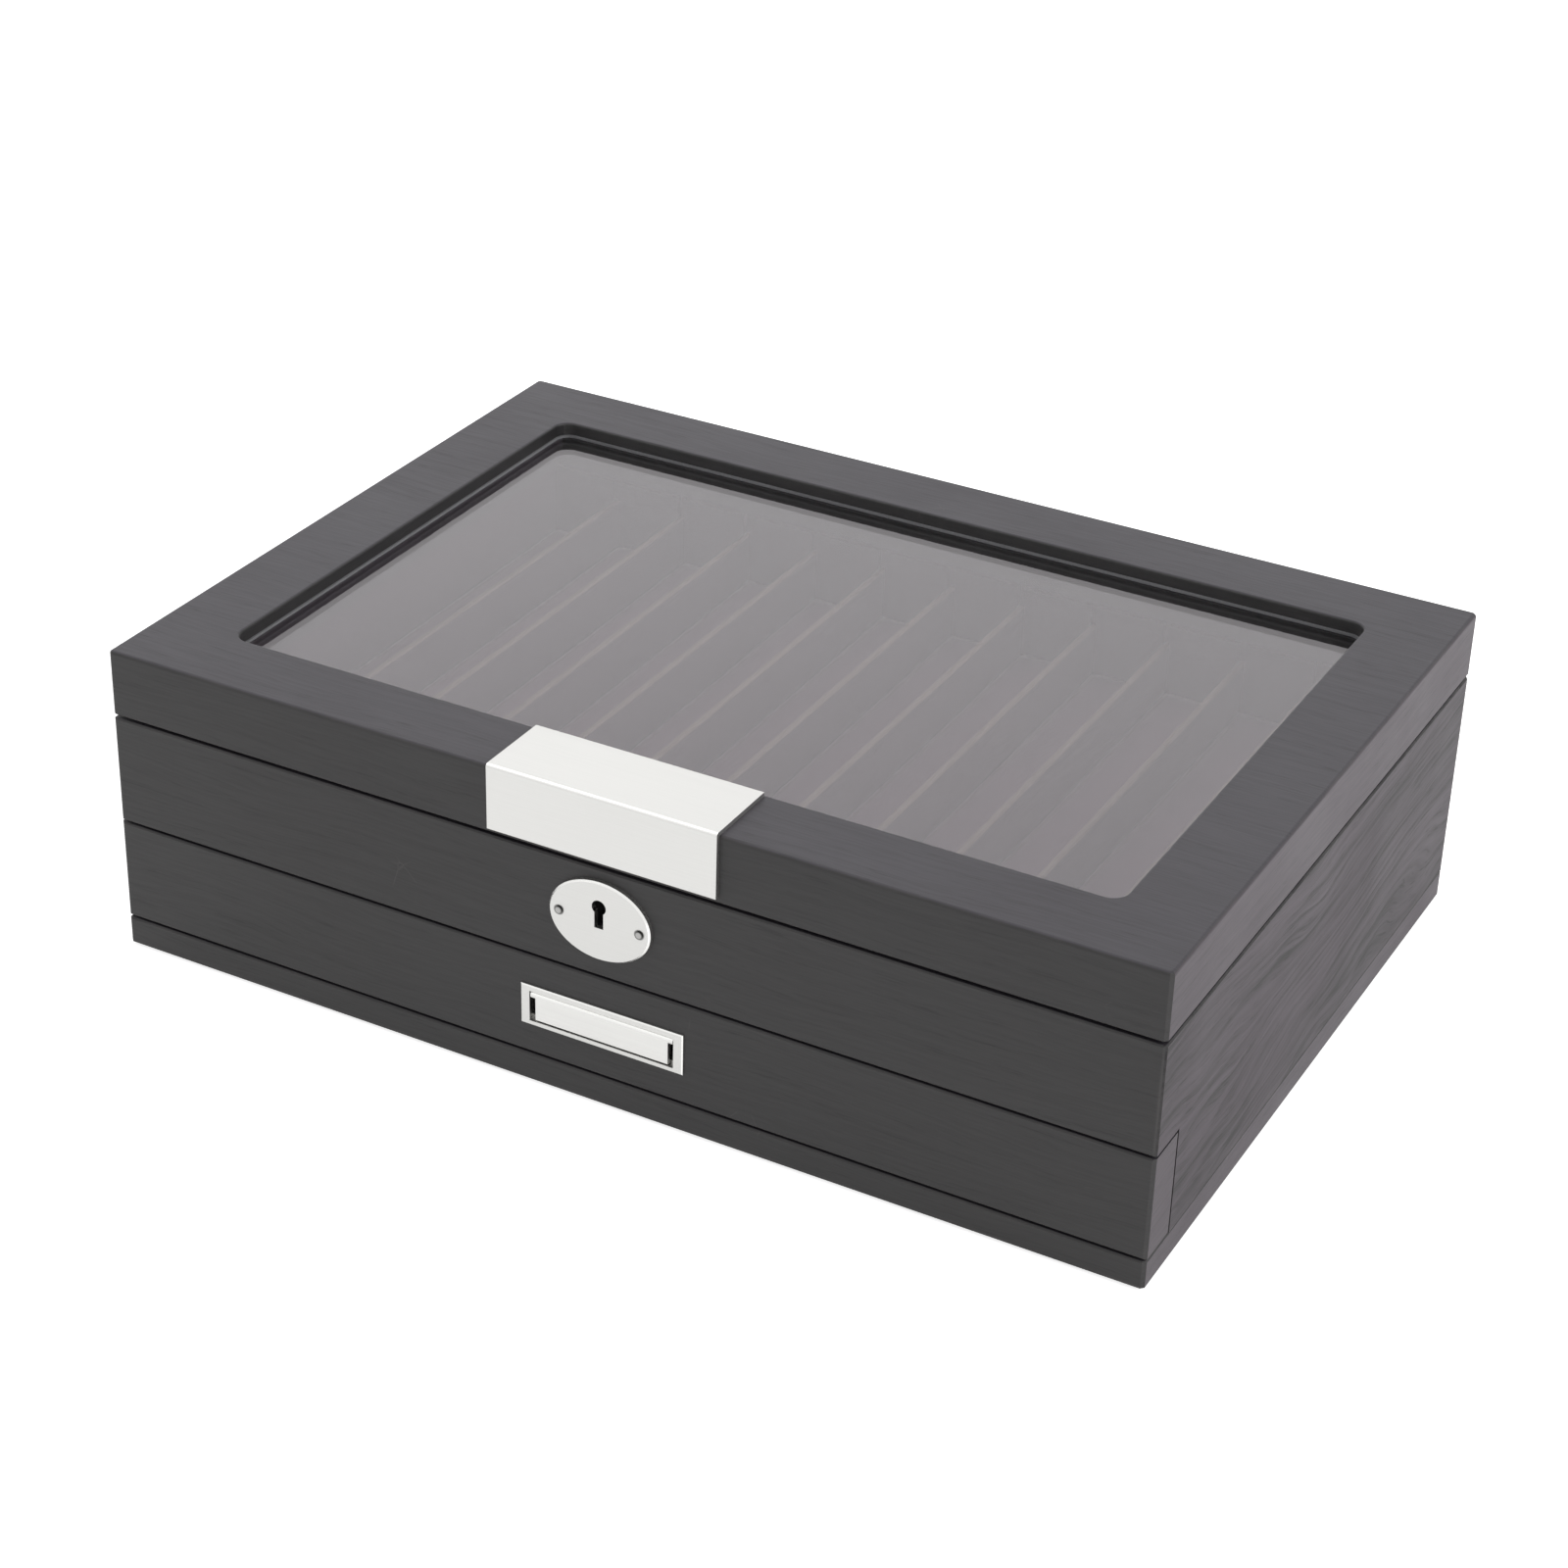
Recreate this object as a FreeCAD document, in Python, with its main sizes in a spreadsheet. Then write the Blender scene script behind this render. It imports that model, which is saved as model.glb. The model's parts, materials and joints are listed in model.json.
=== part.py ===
import FreeCAD, Part
import math
import os
import re
import Sketcher

# Glass-topped pen chest with a full-width drawer.
# +Z is up, +X runs to the right along the front and +Y to the back.
# The origin is on the resting plane, under the middle of the case.

# ---------------------------------------------------------------- driving dimensions (mm, degrees)

DRIVING = {
    # whole chest
    "chest_width": 340,
    "chest_depth": 238,
    "corner_break": 1,
    "edge_break": 0.5,
    # case panels
    "panel_thick": 12,
    "panel_height": 35.2,
    "felt_thick": 1,
    "felt_inset": 4,
    "base_thick": 8.8,
    "deck_rise": 3,
    "deck_thick": 4,
    "deck_groove": 3,
    "groove_play": 0.1,
    # drawer front and the shadow gap round it
    "front_height": 33,
    "front_thick": 15,
    "reveal": 0.8,
    # lid
    "lid_height": 21.4,
    "lid_gap": 1,
    "rail_width": 26,
    "window_corner": 5,
    "window_round": 0.8,
    "lid_round": 1.2,
    "lip_width": 5,
    "glass_drop": 5,
    "glass_thick": 3,
    "glass_play": 0.5,
    "seal_thick": 0.8,
    "seal_show": 0.6,
    "bead_width": 4.5,
    "bead_height": 4,
    "bead_play": 0.1,
    # metal plate folded over the front rail of the lid
    "plate_width": 74,
    "plate_thick": 1.4,
    "plate_reach": 25.2,
    "plate_fall": 19.6,
    "plate_round": 1,
    "plate_edge": 0.3,
    # pen tray
    "slots": 12,
    "tray_play": 0.25,
    "tray_wall": 6,
    "tray_drop": 1.2,
    "tray_floor": 2,
    "divider_thick": 2.2,
    "divider_break": 0.5,
    "divider_height": 18.1,
    "divider_groove": 1.5,
    "divider_play": 0.1,
    "pad_thick": 2,
    "pad_play": 0.3,
    # drawer box
    "drawer_play": 0.5,
    "drawer_side": 8,
    "drawer_lift": 1.6,
    "drawer_below_front": 3.2,
    "drawer_rear_gap": 4,
    "drawer_dado": 4,
    "bottom_rise": 3,
    "bottom_thick": 3,
    "bottom_groove": 4,
    "drawer_divider_height": 16.6,
    "drawer_travel": 150,
    # drawer runners
    "runner_proud": 3,
    "runner_height": 8,
    "runner_play": 0.3,
    "runner_setback": 2,
    # drawer stop
    "button_width": 12,
    "button_thick": 2,
    "button_grip": 12.4,
    "button_play": 0.5,
    "stop_clear": 0.3,
    "cleat_width": 40,
    "cleat_depth": 10,
    "cleat_clear": 2,
    # lid bumpers
    "bumper_radius": 3,
    "bumper_thick": 0.7,
    "bumper_inset": 20,
    # hinges
    "hinge_place": 100,
    "hinge_length": 30,
    "leaf_depth": 10,
    "leaf_thick": 1.2,
    "knuckle_radius": 2.2,
    "knuckle_clear": 0.3,
    "knuckle_gap": 0.3,
    "hinge_pin_radius": 1,
    "hinge_pin_head": 0.6,
    "press_clear": 0.02,
    "run_clear": 0.06,
    "stop_angle": 95,
    "stop_reach": 4.5,
    "stop_thick": 1.6,
    "leaf_screw_spread": 9,
    "leaf_screw_inset": 5.5,
    # wood screws
    "screw_head_radius": 2,
    "screw_shank_radius": 1.1,
    "screw_head_height": 0.9,
    "screw_tip": 1.5,
    "screw_slot": 0.6,
    "screw_slot_depth": 0.5,
    "screw_clear": 0.05,
    "screw_length": 9,
    # escutcheon
    "oval_width": 33,
    "oval_height": 25.5,
    "oval_thick": 1.8,
    "oval_break": 0.5,
    "oval_below_rim": 16,
    "oval_pin_inset": 3.4,
    "oval_pin_radius": 0.6,
    "oval_pin_head": 1.2,
    "oval_pin_proud": 0.5,
    "oval_pin_length": 4.6,
    "keyhole_above_oval": 4.7,
    "keyhole_radius": 2.3,
    "keyhole_width": 2.9,
    "keyhole_drop": 6.8,
    "keyhole_margin": 0.4,
    # lock
    "lock_height": 21,
    "lock_wall": 1,
    "lock_play": 0.2,
    "cover_thick": 1.2,
    "selvedge_ear": 6,
    "selvedge_thick": 1.2,
    "selvedge_front": 0.8,
    "lock_screw_inset": 3,
    "post_radius": 1,
    "key_room": 0.6,
    "bolt_height": 3,
    "bolt_thick": 2,
    "bolt_below_rim": 2.4,
    "bolt_travel": 5,
    "bolt_end_room": 1.5,
    "bolt_tail_room": 1,
    "bolt_play": 0.3,
    "bolt_notch": 7,
    "bolt_notch_deep": 1.2,
    "rib_height": 1.5,
    "rib_width": 1.1,
    "spring_thick": 0.3,
    # strike and its staple
    "staple_gap": 0.7,
    "staple_thick": 2.2,
    "staple_wall": 0.75,
    "staple_toe": 1.6,
    "staple_side_room": 0.35,
    "eye_side_play": 0.35,
    "eye_end_play": 0.4,
    "staple_slot_play": 0.4,
    # flush pull
    "pull_width": 53.8,
    "pull_height": 13.4,
    "pull_rise": 16.6,
    "pull_proud": 0.8,
    "pull_break": 0.3,
    "pull_rim_end": 3,
    "pull_rim_top": 1.8,
    "pull_rim_low": 1.5,
    "pan_wall": 1.2,
    "pan_depth": 8.5,
    "pan_play": 0.2,
    "pan_ledge": 1,
    "pull_screw_spread": 12,
    "pull_screw_length": 5.5,
    "flap_thick": 1.6,
    "flap_play": 0.3,
    "flap_end_gap": 1.9,
    "flap_set": 0.2,
    "barrel_radius": 1.25,
    "pull_pin_radius": 0.6,
    "pull_pin_seat": 1,
}

# ---------------------------------------------------------------- places worked out from them

DERIVED = {
    "half_width": "chest_width / 2",
    "half_depth": "chest_depth / 2",
    "inner_half_width": "half_width - panel_thick",
    "inner_half_depth": "half_depth - panel_thick",
    "base_top": "felt_thick + base_thick",
    "front_low": "base_top + reveal",
    "front_high": "front_low + front_height",
    "front_rear": "-half_depth + front_thick",
    "panel_low": "front_high + reveal",
    "rim": "panel_low + panel_height",
    "lid_low": "rim + lid_gap",
    "chest_height": "lid_low + lid_height",
    "deck_low": "panel_low + deck_rise",
    "deck_high": "deck_low + deck_thick",
    # lid
    "window_half_width": "half_width - rail_width",
    "window_half_depth": "half_depth - rail_width",
    "rebate_half_width": "window_half_width + lip_width",
    "rebate_half_depth": "window_half_depth + lip_width",
    "glass_high": "chest_height - glass_drop",
    "glass_low": "glass_high - glass_thick",
    "lip_low": "glass_high + seal_thick",
    # tray
    "tray_half_width": "inner_half_width - tray_play",
    "tray_half_depth": "inner_half_depth - tray_play",
    "tray_inner_width": "tray_half_width - tray_wall",
    "tray_inner_depth": "tray_half_depth - tray_wall",
    "tray_high": "rim - tray_drop",
    "tray_floor_high": "deck_high + tray_floor",
    "tray_pitch": "(2 * tray_inner_width + divider_thick) / slots",
    # drawer
    "drawer_half_width": "inner_half_width - drawer_play",
    "drawer_inner_width": "drawer_half_width - drawer_side",
    "drawer_low": "base_top + drawer_lift",
    "drawer_high": "front_high - drawer_below_front",
    "drawer_rear": "inner_half_depth - drawer_rear_gap",
    "drawer_back_front": "drawer_rear - drawer_side",
    "bottom_low": "drawer_low + bottom_rise",
    "bottom_high": "bottom_low + bottom_thick",
    "drawer_pitch": "(2 * drawer_inner_width + divider_thick) / slots",
    "runner_low": "(drawer_low + drawer_high - runner_height) / 2",
    "runner_high": "runner_low + runner_height",
    "runner_front": "front_rear + reveal + runner_setback",
    "button_rear": "drawer_rear + button_thick",
    "button_low": "drawer_high - button_grip",
    "button_high": "deck_low - button_play",
    "cleat_low": "drawer_high + cleat_clear",
    "cleat_rear": "drawer_rear - drawer_travel - stop_clear",
    # hinges
    "hinge_standoff": "knuckle_radius + knuckle_clear",
    "axis_depth": "half_depth + hinge_standoff",
    "axis_height": "rim + lid_gap / 2",
    "knuckle_length": "(hinge_length - 2 * knuckle_gap) / 3",
    "stop_drop": "(hinge_standoff - stop_clear + stop_reach * cos(stop_angle)) / sin(stop_angle)",
    "leaf_front": "half_depth - leaf_depth",
    "leaf_screw_depth": "half_depth - leaf_screw_inset",
    "screw_hole": "screw_shank_radius + screw_clear",
    # escutcheon and keyhole
    "oval_middle": "rim - oval_below_rim",
    "keyhole_height": "oval_middle + keyhole_above_oval",
    "oval_front": "-half_depth - oval_thick",
    "oval_pin_spread": "oval_width / 2 - oval_pin_inset",
    # lock, from its front plate to its rear cover
    "lock_room": "2 * (staple_half_depth + staple_side_room)",
    "lock_front": "-inner_half_depth - cover_thick - lock_room - lock_wall",
    "cover_front": "-inner_half_depth - cover_thick",
    "lock_inner_front": "lock_front + lock_wall",
    "lock_middle": "(lock_inner_front + cover_front) / 2",
    "lock_inner_width": "bolt_nose + bolt_travel + bolt_end_room",
    "lock_half_width": "lock_inner_width + lock_wall",
    "selvedge_half_width": "lock_half_width + selvedge_ear",
    "lock_screw_spread": "selvedge_half_width - lock_screw_inset",
    "lock_low": "lock_top - lock_height",
    "lock_top": "rim - selvedge_thick",
    "selvedge_depth": "lock_front - selvedge_front",
    "bolt_high": "rim - bolt_below_rim",
    "bolt_low": "bolt_high - bolt_height",
    "rib_high": "bolt_low - bolt_play",
    "key_sweep": "keyhole_drop + key_room",
    "bolt_nose": "key_sweep + rib_width",
    "bolt_tail": "lock_inner_width - bolt_tail_room",
    "spring_bow": "bolt_below_rim - selvedge_thick - spring_thick - bolt_play",
    "staple_left": "bolt_nose + staple_gap",
    "staple_right": "staple_left + staple_thick",
    "eye_half_depth": "bolt_thick / 2 + eye_side_play",
    "eye_low": "bolt_low - eye_end_play",
    "eye_high": "bolt_high + eye_end_play",
    "staple_half_depth": "eye_half_depth + staple_wall",
    "staple_low": "eye_low - staple_toe",
    "lock_screw_depth": "(selvedge_depth - inner_half_depth) / 2",
    # flush pull
    "pull_middle": "front_low + pull_rise",
    "pull_low": "pull_middle - pull_height / 2",
    "pull_high": "pull_middle + pull_height / 2",
    "pull_front": "-half_depth - pull_proud",
    "pan_low": "pull_low + pull_rim_low",
    "pan_high": "pull_high - pull_rim_top",
    "pan_half_width": "pull_width / 2 - pull_rim_end",
    "pan_rear": "-half_depth + pan_depth",
    "pan_floor": "pan_rear - pan_wall",
    "flap_front": "pull_front + flap_set",
    "flap_rear": "flap_front + flap_thick",
    "flap_low": "pan_low + flap_play",
    "flap_axis_height": "pan_high - flap_play - barrel_radius",
    "flap_axis_depth": "flap_front + barrel_radius - 0.1",
    "barrel_half_width": "pan_half_width - flap_play",
    "flap_half_width": "pan_half_width - flap_end_gap",
}

WORD = re.compile(r"[a-z][a-z_]+")
PLANE_ACROSS = {"x": "YZ_Plane", "y": "XZ_Plane", "z": "XY_Plane"}
TINY = 1e-4

doc = FreeCAD.newDocument("pen_chest")
dims = doc.addObject("Spreadsheet::Sheet", "dims")
pieces = []


# ---------------------------------------------------------------- expressions

def fill_sheet():
    """One row for each driving dimension: its name, then its value under an alias of that name."""
    for row, (name, value) in enumerate(DRIVING.items(), 1):
        dims.set(f"A{row}", name)
        dims.set(f"B{row}", str(value))
        dims.setAlias(f"B{row}", name)
    doc.recompute()


def full(text):
    """An expression with each derived name written out and each driving name as its cell."""
    def replace(match):
        word = match.group()
        if word in DERIVED:
            return "(" + full(DERIVED[word]) + ")"
        if word in DRIVING:
            return "dims." + word
        return word
    return WORD.sub(replace, str(text))


def number(text):
    return float(dims.evalExpression(full(text)))


def bind(target, prop, text):
    target.setExpression(prop, full(text))


# ---------------------------------------------------------------- sketches

def origin_feature(body, role):
    return [feature for feature in body.Origin.OriginFeatures if feature.Role == role][0]


def sketch_across(body, axis, level):
    """A sketch on the body's origin plane across an axis, moved along that axis to a level."""
    sketch = body.newObject("Sketcher::SketchObject", f"{body.Name}_outline")
    sketch.AttachmentSupport = [(origin_feature(body, PLANE_ACROSS[axis]), "")]
    sketch.MapMode = "FlatFace"
    bind(sketch, "AttachmentOffset.Base.z", f"-({level})" if axis == "y" else level)
    return sketch


def hold(sketch, kind, name, geometry, point, text):
    """A named distance from the sketch's origin to a point, bound to an expression."""
    constraint = Sketcher.Constraint(kind, -1, 1, geometry, point, number(text))
    sketch.renameConstraint(sketch.addConstraint(constraint), name)
    bind(sketch, f"Constraints.{name}", text)


def hold_radius(sketch, name, geometry, text):
    constraint = Sketcher.Constraint("Radius", geometry, number(text))
    sketch.renameConstraint(sketch.addConstraint(constraint), name)
    bind(sketch, f"Constraints.{name}", text)


def join(sketch, first, first_point, second, second_point, kind="Coincident"):
    sketch.addConstraint(Sketcher.Constraint(kind, first, first_point, second, second_point))


def polygon(sketch, corners):
    at = [FreeCAD.Vector(number(across), number(along), 0) for across, along in corners]
    for index, start in enumerate(at):
        sketch.addGeometry(Part.LineSegment(start, at[(index + 1) % len(at)]))
    for index in range(len(at)):
        join(sketch, index, 2, (index + 1) % len(at), 1)
    for index, (across, along) in enumerate(corners):
        hold(sketch, "DistanceX", f"across{index}", index, 1, across)
        hold(sketch, "DistanceY", f"along{index}", index, 1, along)


def rectangle(sketch, across, along):
    polygon(sketch, [(across[0], along[0]), (across[1], along[0]),
                     (across[1], along[1]), (across[0], along[1])])


def broken_rectangle(sketch, half_across, half_along, size):
    """A centred rectangle with its four corners broken at 45 degrees."""
    short_across = f"({half_across}) - ({size})"
    short_along = f"({half_along}) - ({size})"
    polygon(sketch, [(f"-({short_across})", f"-({half_along})"), (short_across, f"-({half_along})"),
                     (half_across, f"-({short_along})"), (half_across, short_along),
                     (short_across, half_along), (f"-({short_across})", half_along),
                     (f"-({half_across})", short_along), (f"-({half_across})", f"-({short_along})")])


def rounded_rectangle(sketch, half_across, half_along, radius):
    """A centred rectangle with round corners: four lines, four arcs, tangent all round."""
    wide, tall, bend = number(half_across), number(half_along), number(radius)
    flat_across, flat_along = wide - bend, tall - bend
    ends = [((-flat_across, -tall), (flat_across, -tall)), ((wide, -flat_along), (wide, flat_along)),
            ((flat_across, tall), (-flat_across, tall)), ((-wide, flat_along), (-wide, -flat_along))]
    for start, end in ends:
        sketch.addGeometry(Part.LineSegment(FreeCAD.Vector(*start, 0), FreeCAD.Vector(*end, 0)))
    middles = [(flat_across, -flat_along), (flat_across, flat_along),
               (-flat_across, flat_along), (-flat_across, -flat_along)]
    for index, middle in enumerate(middles):
        circle = Part.Circle(FreeCAD.Vector(*middle, 0), FreeCAD.Vector(0, 0, 1), bend)
        begin = (index - 1) * math.pi / 2
        sketch.addGeometry(Part.ArcOfCircle(circle, begin, begin + math.pi / 2))
    for index in range(4):
        join(sketch, index, 2, 4 + index, 1, "Tangent")
        join(sketch, 4 + index, 2, (index + 1) % 4, 1, "Tangent")
    for index, kind in enumerate(("Horizontal", "Vertical", "Horizontal", "Vertical")):
        sketch.addConstraint(Sketcher.Constraint(kind, index))
    for index in (5, 6, 7):
        sketch.addConstraint(Sketcher.Constraint("Equal", 4, index))
    hold_radius(sketch, "corner", 4, radius)
    hold(sketch, "DistanceY", "front", 0, 1, f"-({half_along})")
    hold(sketch, "DistanceX", "right", 1, 1, half_across)
    hold(sketch, "DistanceY", "rear", 2, 1, half_along)
    hold(sketch, "DistanceX", "left", 3, 1, f"-({half_across})")


def circles(sketch, centres, radius):
    for index, (across, along) in enumerate(centres):
        middle = FreeCAD.Vector(number(across), number(along), 0)
        sketch.addGeometry(Part.Circle(middle, FreeCAD.Vector(0, 0, 1), number(radius)))
        hold(sketch, "DistanceX", f"across{index}", index, 3, across)
        hold(sketch, "DistanceY", f"along{index}", index, 3, along)
        hold_radius(sketch, f"radius{index}", index, radius)


def oval(sketch, middle, width, height):
    """An upright ellipse, wider than tall, held by its centre and its two axes."""
    centre = FreeCAD.Vector(0, number(middle), 0)
    side = centre + FreeCAD.Vector(number(width) / 2, 0, 0)
    top = centre + FreeCAD.Vector(0, number(height) / 2, 0)
    sketch.addGeometry(Part.Ellipse(side, top, centre))
    sketch.exposeInternalGeometry(0)
    hold(sketch, "DistanceX", "centre_across", 0, 3, "0")
    hold(sketch, "DistanceY", "centre_up", 0, 3, middle)
    sketch.addConstraint(Sketcher.Constraint("Horizontal", 1))
    for geometry, name, text in ((1, "long_axis", width), (2, "short_axis", height)):
        constraint = Sketcher.Constraint("Distance", geometry, number(text))
        sketch.renameConstraint(sketch.addConstraint(constraint), name)
        bind(sketch, f"Constraints.{name}", text)


def keyhole(sketch, margin):
    """A round head over a straight slot, both wider than the nominal keyhole by a margin."""
    radius = f"keyhole_radius + {margin}"
    half_slot = f"keyhole_width / 2 + {margin}"
    foot = f"keyhole_height - keyhole_drop - {margin}"
    head, slot, low = number(radius), number(half_slot), number(foot)
    middle = number("keyhole_height")
    shoulder = middle - math.sqrt(head ** 2 - slot ** 2)
    sketch.addGeometry(Part.LineSegment(FreeCAD.Vector(-slot, low, 0), FreeCAD.Vector(slot, low, 0)))
    sketch.addGeometry(Part.LineSegment(FreeCAD.Vector(slot, low, 0), FreeCAD.Vector(slot, shoulder, 0)))
    circle = Part.Circle(FreeCAD.Vector(0, middle, 0), FreeCAD.Vector(0, 0, 1), head)
    begin = math.atan2(shoulder - middle, slot)
    sketch.addGeometry(Part.ArcOfCircle(circle, begin, math.pi - begin))
    sketch.addGeometry(Part.LineSegment(FreeCAD.Vector(-slot, shoulder, 0), FreeCAD.Vector(-slot, low, 0)))
    for first, second in ((0, 1), (1, 2), (2, 3), (3, 0)):
        join(sketch, first, 2, second, 1)
    for kind, index in (("Horizontal", 0), ("Vertical", 1), ("Vertical", 3)):
        sketch.addConstraint(Sketcher.Constraint(kind, index))
    hold(sketch, "DistanceX", "head_across", 2, 3, "0")
    hold(sketch, "DistanceY", "head_up", 2, 3, "keyhole_height")
    hold_radius(sketch, "head", 2, radius)
    hold(sketch, "DistanceX", "slot_left", 0, 1, f"-({half_slot})")
    hold(sketch, "DistanceX", "slot_right", 0, 2, half_slot)
    hold(sketch, "DistanceY", "slot_foot", 0, 1, foot)


# ---------------------------------------------------------------- features

def new_body(label):
    body = doc.addObject("PartDesign::Body", label)
    body.Label = label
    return body


def extrude(body, axis, low, high, draw, *shape):
    """Add material between two levels along an axis."""
    sketch = sketch_across(body, axis, high if axis == "y" else low)
    draw(sketch, *shape)
    pad = body.newObject("PartDesign::Pad", f"{body.Name}_pad")
    pad.Profile = sketch
    bind(pad, "Length", f"({high}) - ({low})")
    return pad


def cut(body, axis, low, high, draw, *shape):
    """Take material away between two levels along an axis."""
    sketch = sketch_across(body, axis, low if axis == "y" else high)
    draw(sketch, *shape)
    pocket = body.newObject("PartDesign::Pocket", f"{body.Name}_pocket")
    pocket.Profile = sketch
    bind(pocket, "Length", f"({high}) - ({low})")
    return pocket


def countersink(body, axis, level, centres, upwards=False):
    """Countersunk screw holes through a thin plate, sunk from the plate's face at a level."""
    sketch = sketch_across(body, axis, level)
    circles(sketch, centres, "screw_hole")
    doc.recompute()
    hole = body.newObject("PartDesign::Hole", f"{body.Name}_holes")
    hole.Profile = sketch
    hole.ThreadType = "None"
    hole.DepthType = "ThroughAll"
    hole.HoleCutType = "Countersink"
    hole.HoleCutCustomValues = True
    hole.Reversed = upwards
    bind(hole, "Diameter", "2 * screw_hole")
    bind(hole, "HoleCutDiameter", "2 * (screw_head_radius + screw_clear)")
    bind(hole, "HoleCutCountersinkAngle",
         "2 * atan((screw_head_radius - screw_shank_radius) / screw_head_height)")
    return hole


def repeat(body, features, pitch, count):
    """The same features again and again along the width."""
    row = body.newObject("PartDesign::LinearPattern", f"{body.Name}_row")
    row.Originals = features
    row.Direction = (origin_feature(body, "X_Axis"), [""])
    row.Mode = "Spacing"
    bind(row, "Offset", pitch)
    bind(row, "Occurrences", count)
    body.Tip = row


def soften(body, kind, size, chosen):
    """Break or round the edges of the body so far that a test picks."""
    doc.recompute()
    base = body.Tip
    names = [f"Edge{index}" for index, edge in enumerate(base.Shape.Edges, 1) if chosen(edge)]
    feature = body.newObject(f"PartDesign::{kind}", f"{body.Name}_{kind.lower()}")
    feature.Base = (base, names)
    bind(feature, "Size" if kind == "Chamfer" else "Radius", size)


def lies_on(edge, axis, level):
    box = edge.BoundBox
    low, high = getattr(box, axis.upper() + "Min"), getattr(box, axis.upper() + "Max")
    return abs(low - number(level)) < TINY and abs(high - number(level)) < TINY


def outer_edges(axis, face, *heights):
    """A test for edges that lie on an upright face and also on one of the level faces given."""
    return lambda edge: lies_on(edge, axis, face) and any(lies_on(edge, "z", height) for height in heights)


def finished(body):
    pieces.append(body)
    return body


def board(label, across, deep, up):
    """A plain rectangular board between two places each way."""
    box = doc.addObject("Part::Box", label)
    box.Label = label
    for side, place, (low, high) in (("Length", "x", across), ("Width", "y", deep), ("Height", "z", up)):
        bind(box, side, f"({high}) - ({low})")
        bind(box, f"Placement.Base.{place}", low)
    return finished(box)


def group(label, members):
    """Identical small pieces that share one node, each still a solid of its own."""
    compound = doc.addObject("Part::Compound", label)
    compound.Label = label
    compound.Links = members
    return finished(compound)


def mirrored(half, side):
    return f"{side} * ({half})"


# ---------------------------------------------------------------- screws

TURNED = {
    "down": FreeCAD.Rotation(FreeCAD.Vector(1, 0, 0), 180),
    "up": FreeCAD.Rotation(),
    "back": FreeCAD.Rotation(FreeCAD.Vector(1, 0, 0), -90),
    "forward": FreeCAD.Rotation(FreeCAD.Vector(1, 0, 0), 90),
}


def wood_screw(name, driven, place, length):
    """A slotted countersunk screw: its flat head at a place, its point the way it is driven."""
    body = new_body(name)
    sketch = sketch_across(body, "y", "0")
    shank_end = f"{length} - screw_tip"
    polygon(sketch, [("0", "0"), ("screw_head_radius", "0"), ("screw_shank_radius", "screw_head_height"),
                     ("screw_shank_radius", shank_end), ("0", length)])
    turned = body.newObject("PartDesign::Revolution", f"{name}_turned")
    turned.Profile = sketch
    turned.ReferenceAxis = (sketch, ["V_Axis"])
    turned.Angle = 360
    rectangle_half = "screw_head_radius + screw_clear"
    cut(body, "z", "0", "screw_slot_depth", rectangle,
        (f"-({rectangle_half})", rectangle_half), ("-screw_slot / 2", "screw_slot / 2"))
    body.Placement = FreeCAD.Placement(FreeCAD.Vector(), TURNED[driven])
    for axis, text in zip("xyz", place):
        bind(body, f"Placement.Base.{axis}", text)
    return body


def screw_set(label, driven, places, length):
    group(label, [wood_screw(f"{label}_{index}", driven, place, length)
                  for index, place in enumerate(places, 1)])


# ---------------------------------------------------------------- case

def base():
    body = new_body("base_board")
    extrude(body, "z", "felt_thick", "base_top", broken_rectangle, "half_width", "half_depth", "corner_break")
    soften(body, "Chamfer", "edge_break", lambda edge: lies_on(edge, "z", "base_top"))
    finished(body)
    board("base_felt", ("-half_width + felt_inset", "half_width - felt_inset"),
          ("-half_depth + felt_inset", "half_depth - felt_inset"), ("0", "felt_thick"))


def side_panel(label, side):
    """A mitred side, notched at the front for the end of the drawer front, grooved for the deck."""
    body = new_body(label)
    outer = mirrored("half_width", side)
    tip = mirrored("half_width - corner_break / 2", side)
    inner = mirrored("inner_half_width", side)
    extrude(body, "z", "base_top", "rim", polygon,
            [(outer, "-half_depth + corner_break"), (outer, "half_depth - corner_break"),
             (tip, "half_depth - corner_break / 2"), (inner, "inner_half_depth"),
             (inner, "-inner_half_depth"), (tip, "-half_depth + corner_break / 2")])
    cut(body, "z", "base_top", "panel_low", rectangle,
        (mirrored("inner_half_width - panel_thick", side), mirrored("half_width + panel_thick", side)),
        ("-half_depth - panel_thick", "front_rear + reveal"))
    cut(body, "z", "deck_low", "deck_high", rectangle,
        (mirrored("inner_half_width - panel_thick", side), mirrored("inner_half_width + deck_groove", side)),
        ("-inner_half_depth - deck_groove", "inner_half_depth + deck_groove"))
    soften(body, "Chamfer", "edge_break", outer_edges("x", outer, "rim"))
    finished(body)


def end_panel(label, side, low):
    """The front or back panel up to its mitres, grooved for the deck."""
    body = new_body(label)
    outer = mirrored("half_depth", side)
    tip = mirrored("half_depth - corner_break / 2", side)
    inner = mirrored("inner_half_depth", side)
    extrude(body, "z", low, "rim", polygon,
            [("-half_width + corner_break", outer), ("half_width - corner_break", outer),
             ("half_width - corner_break / 2", tip), ("inner_half_width", inner),
             ("-inner_half_width", inner), ("-half_width + corner_break / 2", tip)])
    cut(body, "z", "deck_low", "deck_high", rectangle,
        ("-inner_half_width - deck_groove", "inner_half_width + deck_groove"),
        (mirrored("inner_half_depth - panel_thick", side), mirrored("inner_half_depth + deck_groove", side)))
    return body


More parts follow.
